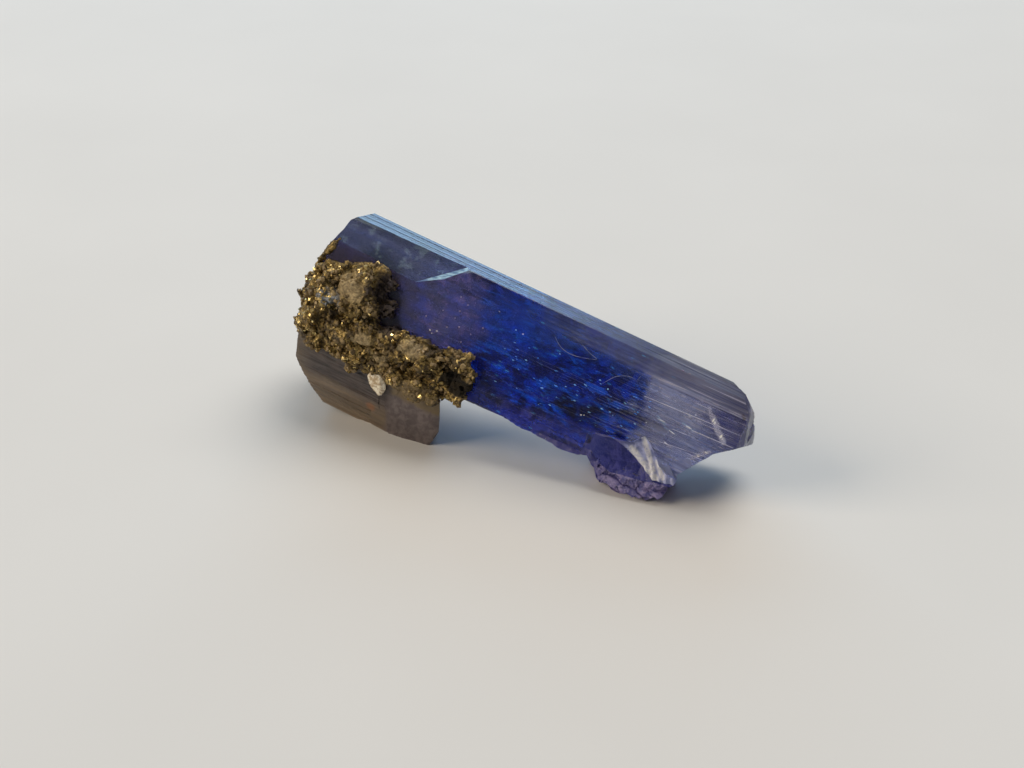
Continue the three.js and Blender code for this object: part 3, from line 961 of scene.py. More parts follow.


# Streaks on the crystal: start, end, half width, colour and strength. Two numbers give a place
# along and up the front face. The sky-white ones are painted reflections of the window light; the
# others are the crystal's own streaks.
STREAKS = [
    ((22.7, 1.74), (29.0, 1.92), 0.040, CREAM, 0.8),
    ((23.9, 1.00), (24.45, 0.84), 0.130, PAINTED_SKY_REFLECTION, 1.0),
    ((24.5, 0.62), (25.3, 0.52), 0.080, PAINTED_SKY_REFLECTION, 0.9),
    ((25.4, 1.26), (26.1, 1.10), 0.085, PAINTED_SKY_REFLECTION, 1.0),
    ((26.1, 1.10), (28.6, 1.14), 0.045, CREAM, 0.9),
    ((24.75, -0.10), (25.05, -0.18), 0.090, CREAM, 0.9),
    ((22.4, 3.40), (26.8, 3.25), 0.030, WARM_GREY, 0.8),
    ((23.1, 2.90), (25.7, 3.00), 0.035, CREAM, 0.6),
    ((23.3, 2.30), (26.3, 2.32), 0.030, WARM_GREY, 0.8),
    ((24.6, -0.20), (27.6, 0.10), 0.035, CREAM, 0.6),
    ((26.45, 2.60), (26.85, 2.15), 0.170, CREAM, 0.9),
    ((26.85, 2.20), (27.25, 1.85), 0.230, CREAM, 0.95),
    ((27.20, 1.95), (27.50, 1.60), 0.170, CREAM, 0.85),
    ((27.45, 1.65), (27.95, 1.25), 0.230, CREAM, 0.95),
    ((26.70, -0.25), (27.10, 0.10), 0.200, CREAM, 0.7),
    ((27.10, 0.15), (27.45, 0.45), 0.150, CREAM, 0.8),
    ((28.35, 3.0), (28.55, 2.8), 0.150, rgba(0.05, 0.02, 0.015), 0.9),
]
# The same for painted highlights off the front face, with a full place for each end: the window's
# reflection on the shoulder step and along the lower edge of the top band.
SHOULDER_HIGHLIGHTS = [
    ((9.75, 0.30, 3.88), (7.3, -0.52, 2.45), 0.11, PAINTED_SKY_REFLECTION, 0.9),
    ((9.9, 0.33, 3.92), (8.6, -0.06, 3.22), 0.16, PAINTED_SKY_REFLECTION, 0.8),
    ((0.6, 0.36, 3.98), (9.9, 0.34, 3.92), 0.12, PAINTED_SKY_REFLECTION, 1.0),
]


def streak_marks(graph, place, colour):
    """Single streaks and spots, each with a slightly uneven course. The sky-white ones are painted
    reflections.
    """
    sway = graph.add(
        "ShaderNodeTexNoise", {"Vector": place, "Scale": 1.3, "Detail": 3.0}
    ).outputs["Color"]
    sway = graph.vector_math("SUBTRACT", sway, (0.5, 0.5, 0.5))
    swayed = graph.vector_math("ADD", place, graph.vector_math("MULTIPLY", sway, (0.3, 0.12, 0.3)))
    straight = graph.vector_math(
        "ADD", place, graph.vector_math("MULTIPLY", sway, (0.02, 0.02, 0.02))
    )
    for start, end, width, paint, strength in STREAKS + SHOULDER_HIGHLIGHTS:
        slim = width < 0.1 or len(start) == 3
        ends = [front_point(*point) if len(point) == 2 else Vector(point) for point in (start, end)]
        stroke = {
            "Vector": straight if slim else swayed, "Start": ends[0], "End": ends[1], "Width": width
        }
        mask = graph.group(STROKE, stroke)["Mask"]
        colour = graph.colour(times(graph, mask, strength), colour, paint)
    return colour


def glint_marks(graph, place, axis, colour):
    """Painted highlights: small bright dashes that stand in for light coming back from inside the blue
    part.
    """
    drawn_out = graph.vector_math("MULTIPLY", place, (0.32, 1.0, 1.0))
    dashes = graph.group(SPECKLE, {"Vector": drawn_out, "Size": 0.16, "Amount": 0.10})
    patches = graph.smooth(graph.noise(place, 0.6, 2.0), 0.46, 0.60)
    inside = times(graph, graph.smooth(axis["X"], 11.5, 14.5), graph.smooth(axis["X"], 24.4, 23.0))
    return graph.colour(times(graph, dashes["Mask"], patches, inside), colour, GLINT_BLUE)


def break_marks(graph, place, axis, kind, colour):
    """The marks on the worn shoulder and on the broken clear end."""
    puffs = graph.noise(place, 2.6, 4.0, 0.6)
    patches = graph.smooth(graph.noise(place, 1.5, 4.0, 0.65), 0.54, 0.64)
    shoulder = graph.colour(patches, SHOULDER_BLUE, SHOULDER_PALE)
    colour = graph.colour(times(graph, is_kind(graph, kind, SHOULDER), 0.85), colour, shoulder)
    tip = times(graph, is_kind(graph, kind, BROKEN), graph.smooth(axis["X"], 25.6, 26.6))
    rim = graph.colour(
        graph.smooth(puffs, 0.50, 0.64), rgba(0.05, 0.045, 0.16), rgba(0.18, 0.155, 0.32)
    )
    return graph.colour(times(graph, tip, 0.85), colour, rim)


def add_depths(graph):
    """What the crystal takes out of the light that passes through it."""
    depths = graph.add(
        "ShaderNodeVolumeAbsorption", {"Color": rgba(0.34, 0.36, 0.82), "Density": 130.0}
    )
    output = graph.tree.nodes["Material Output"]
    graph.feed(output.inputs["Volume"], depths.outputs["Volume"])


def tanzanite_material():
    material, graph, shader = new_material(
        "tanzanite", IOR=1.69, Transmission_Weight=0.80, Metallic=0.0,
    )
    place = crystal_place(graph)
    lines = graph.group(LINES, {"Vector": place, "Fineness": 9.0, "Run": 6.0})
    kind = graph.add("ShaderNodeAttribute", attribute_name="kind").outputs["Fac"]
    broken = graph.math("GREATER_THAN", kind, 0.5)
    grown = graph.math("SUBTRACT", 1.0, broken)
    axis = graph.add("ShaderNodeSeparateXYZ", {"Vector": place}).outputs

    colour = zone_colour(graph, place, axis)
    colour = glint_marks(graph, place, axis, colour)
    colour = line_marks(graph, place, axis, lines, grown, colour)
    colour = break_marks(graph, place, axis, kind, colour)
    colour = streak_marks(graph, place, colour)
    graph.feed(shader["Base Color"], colour)

    haze = graph.smooth(graph.noise(place, 0.7, 3.0), 0.4, 0.7, 0.04, 0.16)
    clear_end = graph.smooth(axis["X"], 19.0, 26.0, 0.0, 0.14)
    low_edge = graph.smooth(axis["Z"], -1.2, -2.4, 0.0, 0.15)
    top = times(
        graph, graph.smooth(axis["Z"], 2.75, 3.15), graph.smooth(axis["X"], 9.0, 23.0), 0.55
    )
    rough = graph.math("ADD", haze, graph.math("ADD", clear_end, low_edge))
    rough = graph.math("ADD", rough, graph.math("ADD", top, times(graph, lines["Broad"], 0.06)))
    graph.feed(shader["Roughness"], graph.math("ADD", rough, times(graph, broken, 0.06)))

    boldness = graph.smooth(axis["X"], 17.0, 23.0, 0.18, 0.9)
    striated = bump(graph, times(graph, lines["Height"], grown, boldness), 0.022)
    pits = graph.noise(place, 5.0, 5.0, 0.6)
    graph.feed(shader["Normal"], bump(graph, pits, 0.015, 1.0, striated))
    add_depths(graph)
    return material


# The brightest parts of the pale break: start, end and half width.
PALE_STREAKS = [
    ((23.15, -1.30), (24.3, -1.90), 0.30),
    ((24.3, -1.90), (25.1, -2.30), 0.34),
    ((23.50, -0.45), (24.2, -1.20), 0.24),
    ((24.20, -1.20), (24.8, -1.95), 0.24),
    ((24.80, -1.40), (25.5, -2.10), 0.22),
]


def frosted_material():
    """Fresh breaks that scatter the light: a pale shell, a lilac ledge and a step painted sky blue as a
    painted reflection of the window light.
    """
    material, graph, shader = new_material(
        "frosted_break", IOR=1.69, Transmission_Weight=0.20, Metallic=0.0,
    )
    place = crystal_place(graph)
    kind = graph.add("ShaderNodeAttribute", attribute_name="kind").outputs["Fac"]
    axis = graph.add("ShaderNodeSeparateXYZ", {"Vector": place}).outputs
    puffs = graph.noise(place, 2.4, 5.0, 0.65)
    fine = graph.noise(place, 7.0, 4.0, 0.65)

    ledge = graph.colour(
        graph.smooth(puffs, 0.42, 0.62), rgba(0.11, 0.10, 0.34), rgba(0.34, 0.28, 0.56)
    )
    ledge = graph.colour(
        times(graph, graph.smooth(fine, 0.56, 0.68), 0.6), ledge, rgba(0.64, 0.55, 0.80)
    )
    blue_side = graph.smooth(axis["X"], 22.5, 21.1)
    ledge = graph.colour(times(graph, blue_side, 0.85), ledge, rgba(0.020, 0.026, 0.27))
    pale = graph.colour(
        graph.smooth(puffs, 0.40, 0.60), rgba(0.24, 0.28, 0.56), rgba(0.46, 0.51, 0.86)
    )
    bright = 0.0
    for start, end, width in PALE_STREAKS:
        ends = [front_point(*point) + Vector((0, 0.2, 0)) for point in (start, end)]
        stroke = {"Vector": place, "Start": ends[0], "End": ends[1], "Width": width}
        bright = graph.math("MAXIMUM", bright, graph.group(STROKE, stroke)["Mask"])
    broken_up = graph.smooth(fine, 0.36, 0.52, 0.45, 1.0)
    pale = graph.colour(times(graph, bright, broken_up), pale, rgba(0.94, 0.94, 1.0))
    left_tail = graph.smooth(axis["X"], 23.2, 22.2)
    pale = graph.colour(times(graph, left_tail, 0.9), pale, rgba(0.10, 0.10, 0.38))
    hollow = graph.colour(
        graph.smooth(puffs, 0.42, 0.60), rgba(0.012, 0.018, 0.22), rgba(0.040, 0.045, 0.36)
    )
    speckled = times(
        graph, graph.smooth(fine, 0.56, 0.66), graph.smooth(axis["X"], 22.9, 21.9), 0.3
    )
    hollow = graph.colour(speckled, hollow, rgba(0.16, 0.14, 0.46))
    hollow = graph.colour(times(graph, blue_side, 0.9), hollow, rgba(0.002, 0.014, 0.26))
    # Painted reflection: the step is sky blue where it mirrors the window light, duller at its left end.
    along = graph.vector_math("MULTIPLY", place, (0.4, 6.0, 6.0))
    step = graph.colour(
        graph.smooth(graph.noise(along, 1.0, 3.0), 0.35, 0.62), rgba(0.13, 0.27, 0.50),
        rgba(0.50, 0.78, 1.0)
    )
    step = graph.colour(graph.smooth(axis["X"], 8.0, 6.8), step, rgba(0.12, 0.20, 0.44))

    colour = graph.colour(is_kind(graph, kind, PALE_BREAK), ledge, pale)
    colour = graph.colour(is_kind(graph, kind, HOLLOW), colour, hollow)
    colour = graph.colour(is_kind(graph, kind, STEP), colour, step)
    graph.feed(shader["Base Color"], colour)
    graph.feed(shader["Roughness"], graph.smooth(puffs, 0.35, 0.65, 0.30, 0.48))
    coarse = bump(graph, puffs, 0.06)
    graph.feed(shader["Normal"], bump(graph, fine, 0.03, 1.0, coarse))
    add_depths(graph)
    return material


def inner_flake_material():
    material, graph, shader = new_material("inner_flakes", Metallic=0.7, Roughness=0.25)
    place = crystal_place(graph)
    tone = graph.add("ShaderNodeAttribute", attribute_name="tone").outputs["Fac"]
    shade = graph.math("ADD", tone, graph.math("MULTIPLY", graph.noise(place, 6.0), 0.3))
    graph.feed(
        shader["Base Color"], graph.colour(shade, rgba(0.02, 0.22, 1.0), rgba(0.45, 0.75, 1.0))
    )
    return material


def pale_inclusion_material(name, dark, light):
    material, graph, shader = new_material(name, Roughness=0.35)
    tone = graph.noise(crystal_place(graph), 2.5, 3.0)
    graph.feed(shader["Base Color"], graph.colour(graph.smooth(tone, 0.35, 0.65), dark, light))
    return material


def smoky_material():
    material, graph, shader = new_material("smoky_crystal", IOR=1.55, Transmission_Weight=0.50)
    place = crystal_place(graph)
    lines = graph.group(LINES, {"Vector": place, "Fineness": 7.0, "Run": 2.2})
    axis = graph.add("ShaderNodeSeparateXYZ", {"Vector": place}).outputs
    clouds = graph.noise(place, 0.9, 4.0, 0.6)
    puffs = graph.noise(place, 2.4, 4.0, 0.6, 0.5)
    colour = graph.colour(
        graph.smooth(clouds, 0.4, 0.6), rgba(0.042, 0.032, 0.036), rgba(0.105, 0.077, 0.074)
    )
    low = graph.smooth(
        graph.math("ADD", axis["Z"], graph.math("MULTIPLY", clouds, 1.5)), -4.4, -5.6
    )
    colour = graph.colour(times(graph, low, 0.8), colour, rgba(0.50, 0.36, 0.22))
    leftward = graph.smooth(axis["X"], 2.2, 0.6)
    colour = graph.colour(times(graph, leftward, 0.7), colour, rgba(0.34, 0.26, 0.17))
    foot = graph.smooth(axis["X"], 7.4, 8.0)
    foot_colour = graph.colour(
        graph.smooth(puffs, 0.36, 0.66), rgba(0.16, 0.125, 0.125), rgba(0.30, 0.235, 0.23)
    )
    slab = graph.smooth(
        graph.math("ADD", axis["Z"], graph.math("MULTIPLY", puffs, 0.6)), -4.3, -3.9
    )
    foot_colour = graph.colour(slab, foot_colour, rgba(0.26, 0.18, 0.085))
    colour = graph.colour(foot, colour, foot_colour)
    on_block = graph.math("SUBTRACT", 1.0, foot)
    colour = graph.colour(
        times(graph, lines["Broad"], on_block, 0.45), colour, rgba(0.035, 0.026, 0.028)
    )
    colour = graph.colour(
        times(graph, lines["Fine"], on_block, 0.34), colour, rgba(0.40, 0.32, 0.28)
    )
    stain = spot_mask(graph, place, (6.5, -3.5, -6.1), (0.32, 0.8, 0.28))
    colour = graph.colour(times(graph, stain, 0.7), colour, rgba(0.55, 0.22, 0.09))
    graph.feed(shader["Base Color"], colour)
    graph.feed(shader["Roughness"], graph.smooth(clouds, 0.3, 0.7, 0.28, 0.5))
    striated = bump(graph, times(graph, lines["Height"], graph.smooth(axis["X"], 8.0, 7.4)), 0.02)
    graph.feed(shader["Normal"], bump(graph, puffs, 0.05, 1.0, striated))
    return material


# Lumps of tan mineral in the crust: centre and radii. The crust swells over them.
LUMPS = [
    ((3.5, -2.9, 1.25), (1.15, 1.5, 0.85)),
    ((5.3, -3.7, -1.35), (0.75, 0.9, 0.42)),
    ((8.5, -3.5, -0.60), (0.75, 0.9, 0.52)),
    ((9.5, -4.1, -3.00), (1.6, 0.9, 0.55)),
    ((6.7, -3.7, -2.2), (0.5, 0.8, 0.30)),
]
# The hollow under the crust's right lobe, painted near black as painted shade: centre and radii.
SHADED_HOLLOW = ((11.85, -3.3, -1.65), (1.15, 1.1, 0.62))
DARK_BANDS = [
    ((5.35, -2.2, 1.6), (0.80, 1.3, 1.1)),
    ((6.20, -2.5, 0.2), (0.85, 1.3, 1.1)),
]
BLUE_GREY_PATCH = ((2.4, -3.2, 0.15), (0.85, 1.0, 0.45))
# Regions of darker rock: centre, radii and strength.
DARK_ROCK = [
    ((11.2, -3.0, -0.8), (1.5, 1.5, 0.8), 0.75),
    ((3.8, -3.4, -0.55), (1.5, 1.5, 0.7), 0.5),
    ((1.2, -3.0, -2.6), (1.2, 1.5, 0.8), 0.45),
    ((7.9, -3.6, -2.0), (1.3, 1.2, 0.5), 0.5),
]


def rock_material():
    material, graph, shader = new_material("brassy_matrix")
    place = crystal_place(graph)
    crags = graph.group(CRAGS, {"Vector": place, "Size": 0.44, "Wobble": 0.6})
    specks = graph.group(SPECKLE, {"Vector": place, "Size": 0.13, "Amount": 0.22})
    wavy = graph.vector_math("ADD", place, graph.vector_math("MULTIPLY", graph.add(
        "ShaderNodeTexNoise", {"Vector": place, "Scale": 2.0}).outputs["Color"], (0.8, 0.8, 0.8)))
    wavy = graph.vector_math("SUBTRACT", wavy, (0.4, 0.4, 0.4))
    axis = graph.add("ShaderNodeSeparateXYZ", {"Vector": place}).outputs
    regions = graph.noise(place, 0.9, 5.0, 0.65)
    fine = graph.noise(place, 7.0, 4.0, 0.65)

    dark = graph.colour(
        graph.smooth(fine, 0.35, 0.65), rgba(0.045, 0.029, 0.012), rgba(0.15, 0.10, 0.038)
    )
    gold = graph.colour(
        graph.smooth(fine, 0.35, 0.65), rgba(0.20, 0.135, 0.045), rgba(0.50, 0.36, 0.14)
    )
    toned = graph.math("ADD", regions, graph.math("MULTIPLY", crags["Tone"], 0.16))
    colour = graph.colour(graph.smooth(toned, 0.46, 0.62), dark, gold)
    for centre, radii, strength in DARK_ROCK:
        mask = spot_mask(graph, wavy, centre, radii, 0.4)
        colour = graph.colour(times(graph, mask, strength), colour, rgba(0.045, 0.029, 0.014))
    lumps = spot_mask(graph, wavy, *LUMPS[0], 0.4)
    for lump in LUMPS[1:]:
        lumps = graph.math("MAXIMUM", lumps, spot_mask(graph, wavy, *lump, 0.35))
    lump_colour = graph.colour(
        graph.smooth(fine, 0.38, 0.62), rgba(0.26, 0.19, 0.09), rgba(0.52, 0.39, 0.20)
    )
    slab = times(graph, graph.smooth(axis["Z"], -2.2, -2.7), 0.85)
    lump_colour = graph.colour(slab, lump_colour, rgba(0.085, 0.054, 0.018))
    colour = graph.colour(times(graph, lumps, 0.85), colour, lump_colour)
    grit = times(graph, specks["Mask"], graph.smooth(regions, 0.42, 0.56, 0.15, 0.9))
    grit = times(graph, grit, graph.math("SUBTRACT", 1.0, times(graph, lumps, 0.8)))
    colour = graph.colour(grit, colour, rgba(0.90, 0.68, 0.25))
    # Painted shade: the crevices between the grains are darkened, less on the lumps.
    bare = graph.math("SUBTRACT", 1.0, times(graph, lumps, 0.8))
    colour = graph.colour(
        times(graph, crags["Crevice"], bare, 0.6), colour, rgba(0.022, 0.014, 0.006)
    )
    banded = 0.0
    for band in DARK_BANDS:
        banded = graph.math("MAXIMUM", banded, spot_mask(graph, wavy, *band, 0.35))
    colour = graph.colour(times(graph, banded, 0.85), colour, rgba(0.046, 0.036, 0.046))
    # Painted shade: the hollow under the right lobe is painted near black.
    hollow = spot_mask(graph, place, *SHADED_HOLLOW, 0.12)
    colour = graph.colour(times(graph, hollow, 0.95), colour, rgba(0.010, 0.007, 0.005))
    shaded = graph.math("MAXIMUM", hollow, times(graph, banded, 0.7))
    patch = spot_mask(graph, wavy, *BLUE_GREY_PATCH, 0.3)
    colour = graph.colour(times(graph, patch, 0.85), colour, rgba(0.38, 0.42, 0.48))
    graph.feed(shader["Base Color"], colour)

    matte = graph.math("MAXIMUM", graph.math("MAXIMUM", lumps, shaded), patch)
    brassy = times(
        graph, graph.smooth(toned, 0.50, 0.64, 0.1, 0.85), graph.math("SUBTRACT", 1.0, matte)
    )
    graph.feed(shader["Metallic"], graph.math("MAXIMUM", brassy, times(graph, grit, 0.9)))
    rough = graph.smooth(fine, 0.3, 0.7, 0.62, 0.30)
    graph.feed(shader["Roughness"], graph.math("MAXIMUM", rough, shaded))
    coarse = bump(graph, crags["Height"], 0.07)
    graph.feed(shader["Normal"], bump(graph, fine, 0.08, 1.0, coarse))
    return material


def grain_material(name, dark, light, metallic, low_rough, high_rough):
    """Loose-looking grains, each with a tone of its own."""
    material, graph, shader = new_material(name, Metallic=metallic)
    place = crystal_place(graph)
    tone = graph.add("ShaderNodeAttribute", attribute_name="tone").outputs["Fac"]
    mottle = graph.math("MULTIPLY", graph.noise(place, 7.0, 3.0), 0.4)
    graph.feed(shader["Base Color"], graph.colour(graph.math("ADD", tone, mottle), dark, light))
    graph.feed(shader["Roughness"], graph.smooth(tone, 0.0, 1.0, high_rough, low_rough))
    graph.feed(shader["Normal"], bump(graph, graph.noise(place, 12.0, 3.0, 0.6), 0.015))
    return material


def ivory_material():
    material, graph, shader = new_material("ivory_flake", Roughness=0.4, Coat_Weight=0.3)
    place = crystal_place(graph)
    mottle = graph.smooth(graph.noise(place, 4.0, 4.0, 0.7), 0.38, 0.6)
    colour = graph.colour(mottle, rgba(0.50, 0.36, 0.20), rgba(1.0, 0.92, 0.74))
    graph.feed(shader["Base Color"], colour)
    graph.feed(shader["Normal"], bump(graph, graph.noise(place, 5.0, 4.0), 0.06))
    return material


# ---- Scattered pieces, by Geometry Nodes --------------------------------------------------------

VECTOR = "FLOAT_VECTOR"


def geometry_tree(name, inputs):
    """An empty Geometry Nodes tree with its sockets, as (tree, graph, input sockets, output socket)."""
    tree = bpy.data.node_groups.new(name, "GeometryNodeTree")
    tree.interface.new_socket(name="Geometry", in_out="INPUT", socket_type="NodeSocketGeometry")
    for label, kind in inputs:
        tree.interface.new_socket(name=label, in_out="INPUT", socket_type="NodeSocket" + kind)
    tree.interface.new_socket(name="Geometry", in_out="OUTPUT", socket_type="NodeSocketGeometry")
    graph = Graph(tree)
    return tree, graph, graph.add("NodeGroupInput").outputs, graph.add("NodeGroupOutput").inputs[0]


def random_number(graph, low, high, seed):
    made = graph.add("FunctionNodeRandomValue", data_type="FLOAT")
    graph.feed(made.inputs[2], low)
    graph.feed(made.inputs[3], high)
    graph.feed(made.inputs["Seed"], seed)
    return made.outputs[1]


def random_vector(graph, low, high, seed):
    made = graph.add("FunctionNodeRandomValue", data_type=VECTOR)
    graph.feed(made.inputs[0], low)
    graph.feed(made.inputs[1], high)
    graph.feed(made.inputs["Seed"], seed)
    return made.outputs[0]


def place_copies(graph, points, shape, rotation, scale, source, result):
    """Puts copies of shape on the points, gives each its own tone, and makes them one mesh."""
    copies = graph.add("GeometryNodeInstanceOnPoints", {
        "Points": points, "Instance": shape, "Rotation": rotation, "Scale": scale,
    }).outputs[0]
    tone = random_number(graph, 0.0, 1.0, 11)
    stored = graph.add("GeometryNodeStoreNamedAttribute", {"Geometry": copies, "Name": "tone"},
                       data_type="FLOAT", domain="INSTANCE")
    graph.feed(stored.inputs["Value"], tone)
    joined = graph.add("GeometryNodeRealizeInstances", {"Geometry": stored.outputs[0]}).outputs[0]
    painted = graph.add(
        "GeometryNodeSetMaterial", {"Geometry": joined, "Material": source["Material"]}
    )
    graph.feed(result, painted.outputs[0])


def grain_tree(name, shape_kind):
    """Copies of one small faceted grain, strewn over a surface where its "open" attribute allows."""
    inputs = [
        ("Density", "Float"), ("Bareness", "Float"), ("Smallest", "Float"), ("Largest", "Float"),
        ("Seed", "Int")
    ]
    tree, graph, source, result = geometry_tree(name, inputs + [("Material", "Material")])
    open_share = graph.add(
        "GeometryNodeInputNamedAttribute", {"Name": "open"}, data_type="FLOAT"
    ).outputs[0]
    place = graph.add("GeometryNodeInputPosition").outputs[0]
    shifted = graph.add("ShaderNodeVectorMath", operation="ADD")
    graph.feed(shifted.inputs[0], place)
    graph.feed(shifted.inputs[1], source["Seed"])
    drifts = graph.noise(shifted.outputs[0], 0.9, 3.0)
    fullest = graph.math("ADD", source["Bareness"], 0.10)
    ramp = graph.add(
        "ShaderNodeMapRange", {"Value": drifts, "From Min": source["Bareness"], "From Max": fullest}
    )
    density = graph.math("MULTIPLY", source["Density"], open_share)
    density = graph.math("MULTIPLY", density, ramp.outputs["Result"])
    points = graph.add("GeometryNodeDistributePointsOnFaces", {
        "Mesh": source["Geometry"], "Density": density, "Seed": source["Seed"],
    }).outputs["Points"]
    if shape_kind == "cube":
        shape = graph.add("GeometryNodeMeshCube", {"Size": (1.0, 1.0, 1.0)}).outputs[0]
    else:
        ball = graph.add("GeometryNodeMeshIcoSphere", {"Radius": 0.6, "Subdivisions": 1}).outputs[0]
        knock = random_vector(graph, (-0.16,) * 3, (0.16,) * 3, 5)
        shape = graph.add("GeometryNodeSetPosition", {"Geometry": ball, "Offset": knock}).outputs[0]
    turn = random_vector(graph, (0.0,) * 3, (2 * math.pi,) * 3, 3)
    size = random_number(graph, source["Smallest"], source["Largest"], 7)
    shape_scale = random_vector(graph, (0.7,) * 3, (1.3,) * 3, 9)
    scale = graph.vector_math("MULTIPLY", shape_scale, size)
    place_copies(graph, points, shape, turn, scale, source, result)
    return tree


def cloud_tree(name):
    """Plates or needles strewn behind the front face. Y of the box is their depth behind it."""
    inputs = [
        ("Count", "Int"), ("Lowest", "Vector"), ("Highest", "Vector"), ("Turn", "Vector"),
        ("Smallest", "Vector"), ("Largest", "Vector"), ("Seed", "Int"),
    ]
    tree, graph, source, result = geometry_tree(name, inputs + [("Material", "Material")])
    place = random_vector(graph, source["Lowest"], source["Highest"], source["Seed"])
    axis = graph.add("ShaderNodeSeparateXYZ", {"Vector": place}).outputs
    size = graph.math("MULTIPLY", axis["X"], (RIGHT_SCALE - LEFT_SCALE) / LENGTH)
    size = graph.math("ADD", size, LEFT_SCALE)
    front = graph.math("MULTIPLY", size, FRONT_AT_AXIS)
    front = graph.math("ADD", front, graph.math("MULTIPLY", axis["Z"], FRONT_SLOPE))
    leaned = graph.vector_math(
        "ADD", place, graph.add("ShaderNodeCombineXYZ", {"Y": front}).outputs[0]
    )
    points = graph.add(
        "GeometryNodePoints", {"Count": source["Count"], "Position": leaned}
    ).outputs[0]
    shape = graph.add("GeometryNodeMeshIcoSphere", {"Radius": 0.5, "Subdivisions": 1}).outputs[0]
    least_turn = graph.vector_math("MULTIPLY", source["Turn"], (-1.0, -1.0, -1.0))
    turn = random_vector(graph, least_turn, source["Turn"], 13)
    scale = random_vector(graph, source["Smallest"], source["Largest"], 17)
    place_copies(graph, points, shape, turn, scale, source, result)
    return tree


def run_tree(name, tree, values, mesh):
    """What the tree makes of the mesh with these input values, as a new plain mesh object."""
    body = linked(name, mesh.copy())
    step = body.modifiers.new("make", "NODES")
    step.node_group = tree
    sockets = {
        item.name: item.identifier for item in tree.interface.items_tree if item.in_out == "INPUT"
    }
    for label, value in values.items():
        step[sockets[label]] = value
    return baked(body)


# ---- The matrix crust ---------------------------------------------------------------------------

ROCK_VOXEL = 0.085
SEAT_REACH = 0.5  # the crust closes gaps to the crystals up to this wide
SEAT_DEPTH = 0.05  # and goes this far into them
BARE_EDGE = 0.35  # no grains lie on the crust this close to a crystal
LUMP_SWELL = 0.17


def nearness(point, centre, radii):
    """1 at the middle of an ellipsoid, falling to 0 at its rim."""
    offset = point - Vector(centre)
    reach = Vector([offset[i] / radii[i] for i in range(3)]).length_squared
    return max(0.0, 1.0 - reach)


# The left edge of the front face above the crust, as places along and up it.
LEFT_EDGE = [(0.30, 0.75), (0.42, 1.2), (0.58, 1.62), (0.78, 2.0), (0.95, 2.35), (1.15, 2.85)]


def rim_crumbs():
    """Crumbs of rock that climb the crystal's left edge above the crust: centres and radii."""
    rng = random.Random(71)
    crumbs = []
    for k in range(22):
        share = k / 21
        x, z = (np.interp(5 * share, range(6), [place[i] for place in LEFT_EDGE]) for i in (0, 1))
        shift = Vector(
            (rng.uniform(-0.14, 0.14), rng.uniform(-0.05, 0.10), rng.uniform(-0.08, 0.08))
        )
        crumbs.append((front_point(x, z) + shift, rng.uniform(0.13, 0.22) * (1.2 - 0.4 * share)))
    return crumbs


def facet_lift(place, size, shift):
    """The height of flat, tilted facets about size millimetres wide, from about -0.5 to 0.5."""
    scaled = place / size + Vector((shift, shift * 0.7, shift * 1.3))
    centre = noise.voronoi(scaled)[1][0]
    lean = noise.noise_vector(centre * 7.7)
    return 1.2 * lean.dot(scaled - centre) + 0.6 * noise.noise(centre * 3.1)


def roughened_rock(neighbours):
    """The crust's shape with crags of several sizes, swollen lumps and a hollow."""
    body = cad_copy("matrix_crust")
    top = break_cutter(
        (3.4, -1.9, 2.2), (-0.31, -0.1, 0.95), relief=0.25, seed=81, half=6, cells=50
    )
    hollow = scallop_cutter(
        (11.85, -3.9, -1.6), (1.25, 0.95, 0.52), seed=82, detail=4, relief=0.08, drop=-22
    )
    saddle = break_cutter(
        (9.4, -2.06, -0.52), (-0.106, 0.571, 0.792), relief=0.12, seed=83, half=2.6, cells=30
    )
    right = break_cutter(
        (12.3, -2.24, -0.95), (0.774, 0.47, 0.404), relief=0.1, seed=84, half=2.5, cells=30
    )
    combined(body, "DIFFERENCE", [top, hollow, saddle, right])
    bm = bmesh.new()
    bm.from_mesh(body.data)
    for centre, radius in rim_crumbs():
        place = Matrix.Translation(centre) @ Matrix.Scale(radius, 4)
        bmesh.ops.create_icosphere(bm, subdivisions=2, radius=1.0, matrix=place)
    bm.to_mesh(body.data)
    bm.free()
    step = body.modifiers.new("even", "REMESH")
    step.mode = "VOXEL"
    step.voxel_size = ROCK_VOXEL
    baked(body)
    points = points_of(body.data)
    for i, vertex in enumerate(body.data.vertices):
        place = vertex.co.copy()
        warped = place + 0.12 * noise.noise_vector(place / 0.5)
        lift = 0.50 * facet_lift(warped, 0.95, 3.0) + 0.30 * facet_lift(warped, 0.42, 5.0)
        lift += 0.16 * fractal(place, 1.1, 4) + 0.05 * fractal(place, 0.2, 3)
        lump = max(nearness(place, *lump) for lump in LUMPS)
        lift = lift * (1 - 0.68 * min(1.0, 2 * lump)) + LUMP_SWELL * lump ** 0.5
        sunk = min(1.0, 2 * max(nearness(place, *band) for band in DARK_BANDS))
        lift = lift * (1 - 0.6 * sunk) - 0.38 * sunk
        apart = min(tree.find_nearest(place)[3] for tree in neighbours)
        lift *= min(1.0, 0.25 + apart / 0.9)
        points[i] += np.array(vertex.normal) * lift
    set_points(body.data, points)
    return body


